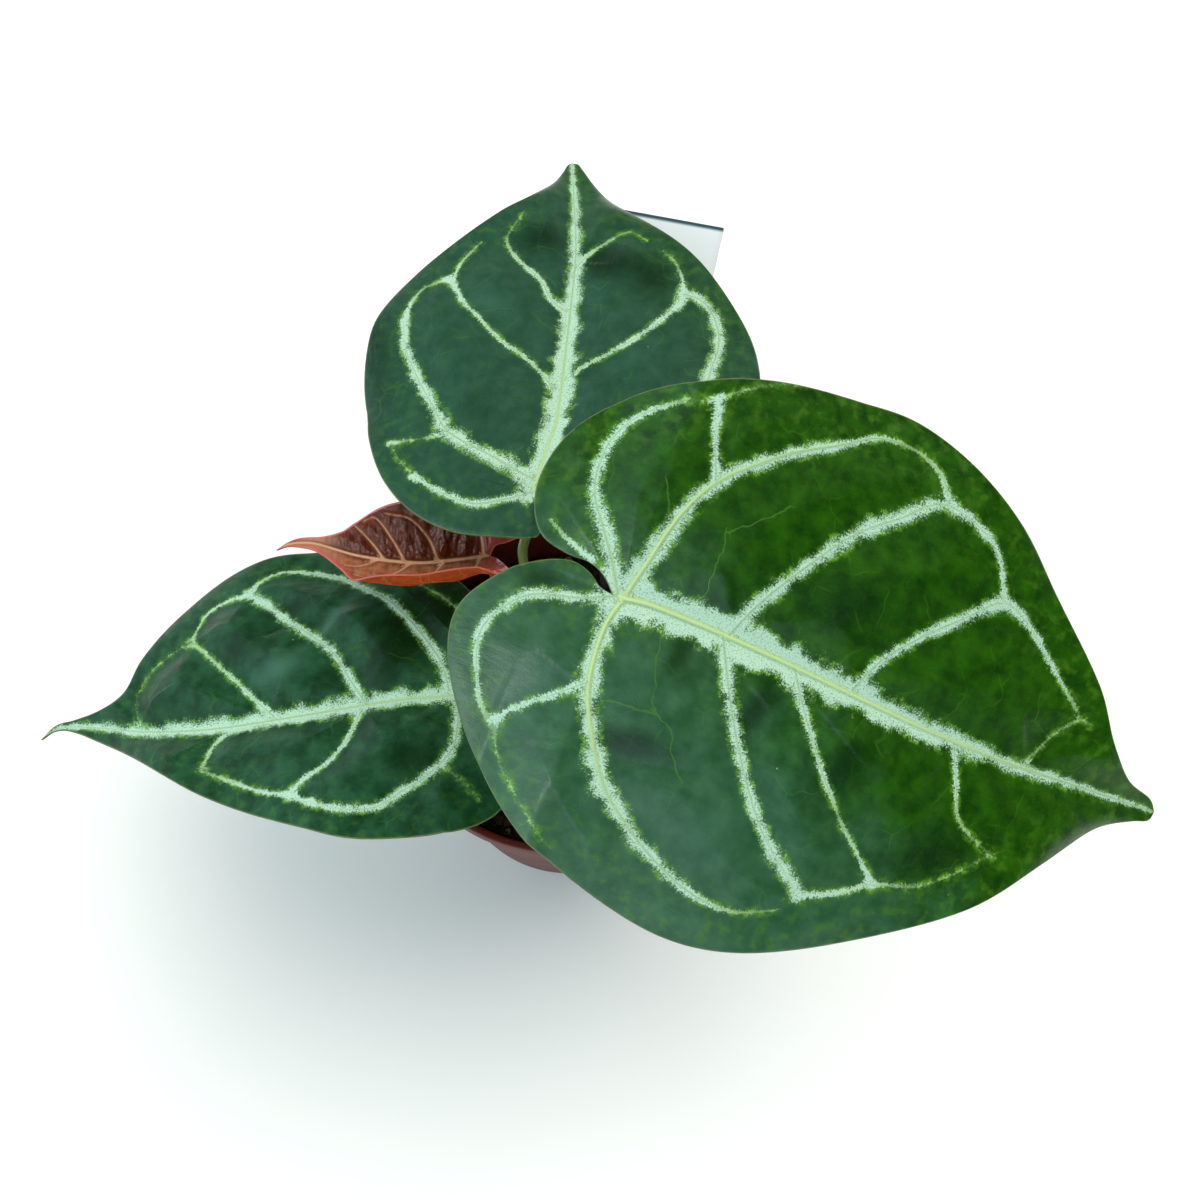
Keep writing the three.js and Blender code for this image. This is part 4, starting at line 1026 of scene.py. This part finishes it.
def leaf_top(name, look):
    """The upper face: dark green, stippled silver bands with a ridge line, fine veins, a pale edge."""
    s = Shader(name)
    half = s.attribute("half")
    ridge = s.attribute("ridge")
    rim = s.attribute("rim")
    distance, inside, density, silver, grain = band(s)
    to_line = s.signed(s.attribute("line_near"), s.attribute("line"))
    wiggle = (s.noise(0.22) - 0.5) * 3.0
    to_thread = s.signed(s.attribute("thread_near"), s.attribute("thread") + wiggle)

    # The green between the veins: warm yellow green on one side, blue green on the other, with blotches
    # and fine veins. The blue green side is partly the leaf's own tone and partly a painted sheen.
    mottle = s.noise(0.16, 4.0, 0.55)
    fine = s.noise(1.3, 3.0, 0.65)
    side = s.along(look["warm_side"]) + (s.noise(0.07, 3.0) - 0.5) * 50.0
    warmth = s.fade(side, look["warm_from"], look["warm_to"])
    shade = s.fade(mottle, 0.2, 0.85)
    cool_tone_and_sheen = s.mix(shade, look["cool_deep"], look["cool_tone_and_sheen"])
    warm = s.mix(shade, look["deep"], look["green"])
    green = s.mix(warmth, cool_tone_and_sheen, warm)
    rim_zone = s.fade(rim, 26.0, 3.0)
    blotch = s.fade(s.noise(0.26, 3.0, 0.5), 0.46, 0.72)
    blotch *= 0.04 + rim_zone * look["rim_blotches"]
    green = s.mix(blotch, green, look["light"])
    # Painted shade and sheen: the spots darken the green where the leaf lies in shade, and paint a paler
    # blue green sheen where their strength is negative.
    painted_shade_and_sheen = s.attribute("painted_shade_and_sheen")
    green = s.tint(green, look["dark"], painted_shade_and_sheen, 0.0, 1.2, 0.85)
    green = s.tint(green, look["pale"], painted_shade_and_sheen, 0.0, -1.2, 0.7)
    net = s.net(0.06, 0.16, 4.0)
    small_net = s.net(0.2, 0.4, 2.5)
    net_line = s.fade(net, 0.018, 0.004) * s.fade(s.noise(0.08, 1.0), 0.48, 0.62, 0.0, 0.25)
    small_line = s.fade(small_net, 0.03, 0.0, 0.0, 0.09)
    thread = s.fade(to_thread, 0.4, 0.05, 0.0, 0.6)
    lines = s.math("MAXIMUM", thread, s.math("MAXIMUM", net_line, small_line))
    green = s.mix(lines * s.fade(distance, 0.4, 2.0), green, look["net"])

    # Stippled silver over a broken yellow green fringe.
    patches = s.fade(s.noise(0.28, 4.0, 0.7), 0.46, 0.6)
    fringe = s.fade(inside, s.fade(half, 0.3, 1.5, -1.8, -1.2), 0.1) * s.fade(half, 0.05, 0.3)
    colour = s.mix(fringe * (0.08 + patches * 0.8), green, look["fringe"])
    bright = s.mix(density, look["silver_outer"], look["silver"])
    shine = s.fade(grain + density * 0.16, 0.44, 0.68)
    bright = s.mix(shine, look["silver_dim"], bright)
    bright = s.tint(bright, look["fringe_light"], half, 1.1, 0.3, 0.8)
    thin = s.fade(half, 0.9, 0.25)
    silver *= 1.0 - thin * (0.9 - patches * 0.75)
    colour = s.mix(silver, colour, bright)

    # The ridge line in the middle of a strong vein, pale on the big ones and green on the small.
    strong = s.fade(ridge, 0.45, 1.0)
    present = s.fade(ridge, 0.06, 0.25)
    halo = s.fade(to_line - ridge * 0.6, 0.9, -0.1)
    colour = s.mix(halo * strong * 0.4, colour, look["ridge_side"])
    line = s.fade(to_line - ridge * 0.36, 0.4, -0.3)
    line_colour = s.mix(strong, look["ridge_small"], look["ridge"])
    colour = s.mix(line * (present * s.mix(strong, 0.75, 0.9)), colour, line_colour)

    # A thin pale line along the edge, and a few pale specks.
    edge = s.fade(rim, 0.32, 0.12) * s.fade(s.noise(0.3), 0.25, 0.5, 0.0, 0.8)
    colour = s.mix(edge, colour, look["edge"])
    specks = s.fade(s.cells(0.075), 0.02, 0.013, 0.0, 0.6)
    colour = s.mix(specks, colour, (0.4, 0.45, 0.35))

    # Low relief: the ridge, sunken fine veins and grain. Silver is rougher than green.
    height = s.fade(to_line - ridge * 0.5, 0.7, -0.6) * (ridge * 0.4)
    height += fine * 0.05
    height += grain * (silver * 0.035)
    height -= lines * 0.1
    creases = s.noise(1.0, 3.0, 0.55, place=s.stretched((0.1, 0.3, 1.0)))
    height += creases * s.mix(warmth, 0.2, 0.12)
    roughness = look["roughness"] + (silver * 0.2 + fine * 0.1)
    return s.finish(colour, roughness, s.bump(height), specular_ior_level=look["specular"])


def leaf_under(name, look):
    """The lower face: paler and duller, with raised veins."""
    s = Shader(name)
    ridge = s.attribute("ridge")
    mottle = s.noise(0.4, 4.0, 0.6)
    colour = s.tint(look["under"], look["under_light"], mottle, 0.3, 0.7)
    net = s.net(0.1, 0.3, 5.0)
    colour = s.tint(colour, look["under_vein"], net, 0.05, 0.0, 0.45)
    rib = s.fade(s.attribute("line_near") - ridge * 1.3, 0.7, -0.2)
    colour = s.mix(rib * s.fade(ridge, 0.05, 0.25), colour, look["under_vein"])
    height = s.fade(net, 0.08, 0.0, 0.0, 0.12) + mottle * 0.15
    return s.finish(colour, 0.48 + mottle * 0.12, s.bump(height),
                    specular_ior_level=look["under_specular"])


def leaf_edge(name, look):
    s = Shader(name)
    colour = s.mix(s.noise(0.25, 2.0), look["edge"], look["edge_dark"])
    return s.finish(colour, 0.42 + s.noise(1.0) * 0.1)


def young_top(name, look):
    """The young leaf's upper face: glossy red brown, tan towards the near side, with cream veins."""
    s = Shader(name)
    rim = s.attribute("rim")
    x = s.part(0)
    y = s.part(1)
    mottle = s.noise(0.35, 4.0, 0.62)
    fine = s.noise(1.6, 3.0, 0.65)
    far_side = s.tint(look["deep"], look["brown"], mottle, 0.3, 0.75)
    near_side = s.tint(look["rust"], look["tan"], mottle, 0.3, 0.7)
    colour = s.tint(far_side, near_side, y + mottle * 4.0, 1.0, 5.0)
    colour = s.tint(colour, look["tail"], x, 46.0, 60.0)
    colour = s.mix(s.fade(x, 5.0, -3.0) * 0.8, colour, look["pink"])
    colour = s.mix(s.fade(rim, 3.0, 0.5, 0.0, 0.6) * s.fade(y, -4.0, 4.0, 0.15, 1.0), colour,
                   look["pink"])
    net = s.net(0.24, 0.3, 2.0)
    colour = s.tint(colour, look["tan"], net, 0.05, 0.0, 0.12)
    distance = s.signed(s.attribute("near"), s.attribute("vein"))
    half = s.attribute("half")
    reach = half * 0.6 + s.attribute("web") * 0.2 - distance
    colour = s.tint(colour, look["tan"], reach, -1.3, 0.1, 0.4)
    line = s.fade(reach, -0.3, 0.2) * s.fade(half, 0.15, 0.6, 0.3, 0.95)
    colour = s.mix(line, colour, look["vein"])
    colour = s.tint(colour, look["edge"], rim, 0.45, 0.15)
    pucker = s.noise(1.0, 2.0, 0.5, place=s.stretched((0.2, 0.09, 1.0)))
    height = pucker * 2.6 + (fine * 0.05 + mottle * 0.3)
    height += s.fade(reach, -1.2, 0.2, 0.5, 0.0)
    roughness = look["roughness"] + fine * 0.08
    return s.finish(colour, roughness, s.bump(height), specular_ior_level=look["specular"],
                    specular_tint=look["tint"])


def plant_skin(name, low, high):
    """Stalk or crown skin with lengthwise streaks, redder at the foot, with small pale dots."""
    s = Shader(name)
    streak = s.noise(1.4, 3.0, 0.6, place=s.stretched((1.0, 1.0, 0.06)))
    blotch = s.noise(0.35, 3.0)
    colour = s.tint(low, high, streak, 0.35, 0.65)
    colour = s.tint(colour, (0.16, 0.08, 0.03), blotch, 0.5, 0.75, 0.5)
    colour = s.tint(colour, (0.2, 0.07, 0.03), s.part(2), 12.0, 2.0, 0.45)
    dots = s.fade(s.cells(0.9), 0.2, 0.12, 0.0, 0.4)
    colour = s.mix(dots, colour, (0.4, 0.42, 0.2))
    height = streak * 0.18 + blotch * 0.15
    return s.finish(colour, 0.38 + blotch * 0.12, s.bump(height))


def dry_paper(name):
    """Papery brown fibre that runs along the sheath."""
    s = Shader(name)
    fibre = s.noise(1.5, 4.0, 0.7, place=s.stretched((0.08, 1.6, 1.0)))
    blotch = s.noise(0.3, 3.0)
    colour = s.tint((0.09, 0.045, 0.02), (0.3, 0.18, 0.09), fibre, 0.3, 0.7)
    colour = s.tint(colour, (0.14, 0.07, 0.03), blotch, 0.45, 0.7, 0.6)
    return s.finish(colour, 0.62 + fibre * 0.2, s.bump(fibre * 0.25))


def pot_plastic():
    """Thin brown red plastic with faint streaks from the mould and a little dust low down, and its inside
    painted near black as painted shade.
    """
    s = Shader("pot_plastic")
    streak = s.noise(1.0, 3.0, 0.6, place=s.stretched((0.9, 0.9, 0.05)))
    cloud = s.noise(0.08, 4.0, 0.6)
    colour = s.tint((0.085, 0.01, 0.005), (0.115, 0.016, 0.008), streak, 0.3, 0.7)
    colour = s.tint(colour, (0.065, 0.009, 0.006), cloud, 0.45, 0.75, 0.5)
    # Painted shade: the inner face of the wall is painted near black, for the shade inside the pot.
    across = s.node("VectorMath", {0: s.stretched((1.0, 1.0, 0.0))}, "Value", operation="LENGTH")
    wall = s.part(2) * ((POT_TOP_RADIUS - POT_BASE_RADIUS) / POT_HEIGHT) + POT_BASE_RADIUS
    inner = s.fade(across - wall, -0.9, -1.5)
    colour = s.mix(inner, colour, (0.012, 0.004, 0.003))
    dust = s.fade(s.part(2), 14.0, 0.0, 0.0, 0.4) * s.noise(0.5, 4.0, 0.7)
    colour = s.mix(dust, colour, (0.16, 0.09, 0.06))
    height = streak * 0.05 + s.noise(2.2, 2.0) * 0.03
    roughness = 0.38 + (cloud * 0.12 + streak * 0.06)
    return s.finish(colour, roughness, s.bump(height), specular_ior_level=0.3)


def soil_earth():
    """Dark, damp bark fines, darker than the bark's own colour: partly painted shade inside the pot."""
    s = Shader("soil_earth")
    crumbs = s.cells(0.8)
    grain = s.noise(1.4, 4.0, 0.7)
    # Partly painted shade: these browns are darkened below the bark's own colour, for the shade inside
    # the pot.
    colour = s.tint((0.007, 0.004, 0.003), (0.022, 0.013, 0.008), grain, 0.35, 0.7)
    height = crumbs * -0.8 + grain * 0.7
    return s.finish(colour, 0.78 + grain * 0.15, s.bump(height))


def soil_bark():
    """Bark chips, each with its own tone, and a pale one here and there."""
    s = Shader("soil_bark")
    tone = s.attribute("tone")
    grain = s.noise(1.3, 4.0, 0.7, place=s.stretched((1.0, 0.35, 1.0)))
    # Partly painted shade: the chips' browns are darker than the bark's own, for the shade inside the
    # pot.
    colour = s.mix(tone, (0.009, 0.005, 0.003), (0.045, 0.022, 0.011))
    colour = s.tint(colour, (0.18, 0.14, 0.1), tone, 0.965, 0.98)
    colour = s.tint(colour, (0.008, 0.005, 0.004), grain, 0.55, 0.3, 0.7)
    return s.finish(colour, 0.7 + grain * 0.2, s.bump(grain * 0.6))


def label_card():
    """Pale plastic with a dark band along its top edge, and earth on the stem near the soil."""
    s = Shader("label_card")
    down = s.part(1)
    cloud = s.noise(0.12, 3.0)
    grain = s.noise(3.0, 2.0)
    colour = s.mix(cloud, (0.74, 0.80, 0.79), (0.78, 0.82, 0.81))
    colour = s.tint(colour, (0.13, 0.24, 0.27), down, 2.2, 1.2)
    colour = s.tint(colour, (0.035, 0.065, 0.085), down, 1.3, 1.0)
    earth = s.fade(down + s.noise(0.4, 3.0) * 8.0, 86.0, 98.0)
    colour = s.mix(earth, colour, (0.022, 0.013, 0.008))
    return s.finish(colour, 0.34 + grain * 0.1, s.bump(grain * 0.02))


# In the looks, dark is a painted shade and pale a painted sheen, laid on by the spots. The blue greens of
# the one side are partly the leaf's own tone and partly painted sheen.
MATURE = dict(
    deep=(0.0035, 0.0300, 0.0004), green=(0.0190, 0.098, 0.0004), cool_tone_and_sheen=(0.040, 0.118, 0.056),
    cool_deep=(0.014, 0.066, 0.024), light=(0.070, 0.190, 0.010), net=(0.048, 0.165, 0.012),
    dark=(0.0015, 0.0160, 0.0020), pale=(0.055, 0.150, 0.095),
    fringe=(0.10, 0.26, 0.014), fringe_light=(0.28, 0.46, 0.12), silver=(0.44, 0.64, 0.47),
    silver_outer=(0.31, 0.47, 0.30), silver_dim=(0.20, 0.35, 0.20), ridge=(0.50, 0.66, 0.27),
    ridge_small=(0.20, 0.34, 0.11), ridge_side=(0.28, 0.44, 0.07), edge=(0.12, 0.16, 0.04),
    edge_dark=(0.04, 0.08, 0.015), roughness=0.27, specular=0.4, rim_blotches=0.4,
    under=(0.05, 0.11, 0.03), under_light=(0.085, 0.17, 0.05), under_vein=(0.22, 0.32, 0.10),
    under_specular=0.5, warm_side=(0.45, 0.89, 0), warm_from=-14.0, warm_to=30.0,
)
YOUNG = dict(
    deep=(0.045, 0.006, 0.001), brown=(0.095, 0.016, 0.002), rust=(0.22, 0.055, 0.022),
    tan=(0.36, 0.135, 0.065), tail=(0.46, 0.22, 0.12), pink=(0.42, 0.06, 0.05), vein=(0.60, 0.33, 0.18),
    edge=(0.60, 0.13, 0.10), edge_dark=(0.30, 0.05, 0.04), roughness=0.13, specular=0.38,
    tint=(1.0, 0.66, 0.60), under=(0.36, 0.040, 0.006), under_light=(0.48, 0.075, 0.014),
    under_vein=(0.55, 0.18, 0.05), under_specular=0.1,
)
LOOKS = {
    "leaf_front": MATURE,
    "leaf_back": dict(MATURE, cool_tone_and_sheen=(0.0240, 0.082, 0.0450), cool_deep=(0.011, 0.052, 0.026),
                      deep=(0.006, 0.034, 0.006), green=(0.030, 0.098, 0.020), specular=0.3,
                      warm_from=55.0, warm_to=125.0, warm_side=(0.6, -0.8, 0), rim_blotches=0.25),
    "leaf_left": dict(MATURE, cool_tone_and_sheen=(0.018, 0.086, 0.036), cool_deep=(0.001, 0.024, 0.004),
                      warm_from=150.0, warm_to=320.0, warm_side=(1, 0, 0), roughness=0.24,
                      specular=0.2, rim_blotches=0.2),
    "leaf_young": YOUNG,
}


def make_leaves():
    for name, leaf in LEAVES.items():
        look = LOOKS[name]
        top, slot = (young_top, "young_leaf") if look is YOUNG else (leaf_top, "mature_leaf")
        materials = [top(name + "_top", look), leaf_under(name + "_under", look),
                     leaf_edge(name + "_edge", look)]
        dress(blade(name, leaf), [name], materials)


make_pot()
make_soil()
make_chips()
make_crown()
make_stalks()
make_sheaths()
make_label()
make_leaves()


# Floor, light and camera
RIM_CENTRE = Vector((0, 0, 0.1))
CAMERA_DISTANCE = 0.5
CAMERA_HEIGHT_ANGLE = math.radians(65)
PHOTO_SIZE = 1200
PHOTO_FOCAL = 1448.5
RIM_PIXEL = (562, 682)

# The sky is faint, with a dark side to the right and lights on the left. A light is its
# direction, where it starts and where it is full as cosines, its strength and its colour. A large
# soft lamp above, which the gloss doesn't mirror, lights the colours evenly.
SKY_GLOW = 0.15
SKY_COLOUR = (0.9, 1.0, 1.04)
SKY_DARK_SIDE = (0.742, -0.346, 0.574)
SKY_DARK_FROM = 0.5
SKY_DARK_TO = 0.8
SKY_DARK_LEFT = 0.02
SKY_LIGHTS = [
    ((-1.0, 0, -0.1), 0.25, 0.75, 1.2, (0.66, 0.91, 1.06)),
    ((-0.3, -0.8, 0.5), 0.74, 0.95, 1.1, (0.66, 0.91, 1.06)),
    ((-0.576, -0.596, 0.559), 0.98, 0.995, 6.0, (1.0, 0.95, 0.95)),
]
LAMP_DIRECTION = (0.35, 0.35, 0.87)
LAMP_STRENGTH = 3.2
LAMP_SPREAD = math.radians(75)
LAMP_COLOUR = (1.0, 0.98, 0.94)


def make_camera():
    """The pot's rim centre lies at its place in the photograph, half a metre in front of the lens."""
    forward = Vector((0, math.cos(CAMERA_HEIGHT_ANGLE), -math.sin(CAMERA_HEIGHT_ANGLE)))
    up = Vector((0, math.sin(CAMERA_HEIGHT_ANGLE), math.cos(CAMERA_HEIGHT_ANGLE)))
    right = Vector((1, 0, 0))
    across = (RIM_PIXEL[0] - PHOTO_SIZE / 2) / PHOTO_FOCAL
    down = (RIM_PIXEL[1] - PHOTO_SIZE / 2) / PHOTO_FOCAL
    camera_data = bpy.data.cameras.new("camera")
    camera_data.sensor_width = 36
    camera_data.lens = 36 * PHOTO_FOCAL / PHOTO_SIZE
    camera = bpy.data.objects.new("camera", camera_data)
    camera.location = RIM_CENTRE - CAMERA_DISTANCE * (forward + right * across - up * down)
    camera.rotation_euler = (math.pi / 2 - CAMERA_HEIGHT_ANGLE, 0, 0)
    bpy.context.scene.collection.objects.link(camera)
    bpy.context.scene.camera = camera


def make_floor():
    floor = mesh_object("floor", [(-3000, -3000, -0.2), (3000, -3000, -0.2), (3000, 3000, -0.2),
                                  (-3000, 3000, -0.2)], [[0, 1, 2, 3]])
    s = Shader("floor")
    grain = s.noise(9.0, 2.0, place=s.node("TexCoord", {}, "Object"))
    floor.data.materials.append(s.finish(s.mix(grain, (0.95, 0.93, 0.88), (0.97, 0.95, 0.90)), 0.9))


def make_sky():
    """Broad soft light from a few sides, and a dim room elsewhere."""
    world = bpy.data.worlds.new("sky")
    bpy.context.scene.world = world
    world.use_nodes = True
    n = Nodes(world.node_tree)
    n.place = n.node("TexCoord", {}, "Generated")

    def toward(direction):
        return n.along(tuple(Vector(direction).normalized()))

    glow = n.fade(toward(SKY_DARK_SIDE), SKY_DARK_FROM, SKY_DARK_TO, SKY_GLOW, SKY_DARK_LEFT)
    total = n.node("Background", {"Color": SKY_COLOUR, "Strength": glow})
    for direction, low, high, strength, colour in SKY_LIGHTS:
        lobe = n.fade(toward(direction), low, high, 0.0, strength)
        light = n.node("Background", {"Color": colour, "Strength": lobe})
        total = n.node("AddShader", {0: total, 1: light})
    output = n.tree.nodes.new("ShaderNodeOutputWorld")
    n.put(output.inputs["Surface"], total)


def make_lamp():
    light = bpy.data.lights.new("lamp", "SUN")
    light.energy = LAMP_STRENGTH
    light.angle = LAMP_SPREAD
    light.color = LAMP_COLOUR
    lamp = bpy.data.objects.new("lamp", light)
    lamp.rotation_euler = Vector(LAMP_DIRECTION).to_track_quat("Z", "Y").to_euler()
    lamp.visible_glossy = False
    bpy.context.scene.collection.objects.link(lamp)


make_camera()
make_floor()
make_sky()
make_lamp()
bpy.context.scene.view_settings.view_transform = "Standard"
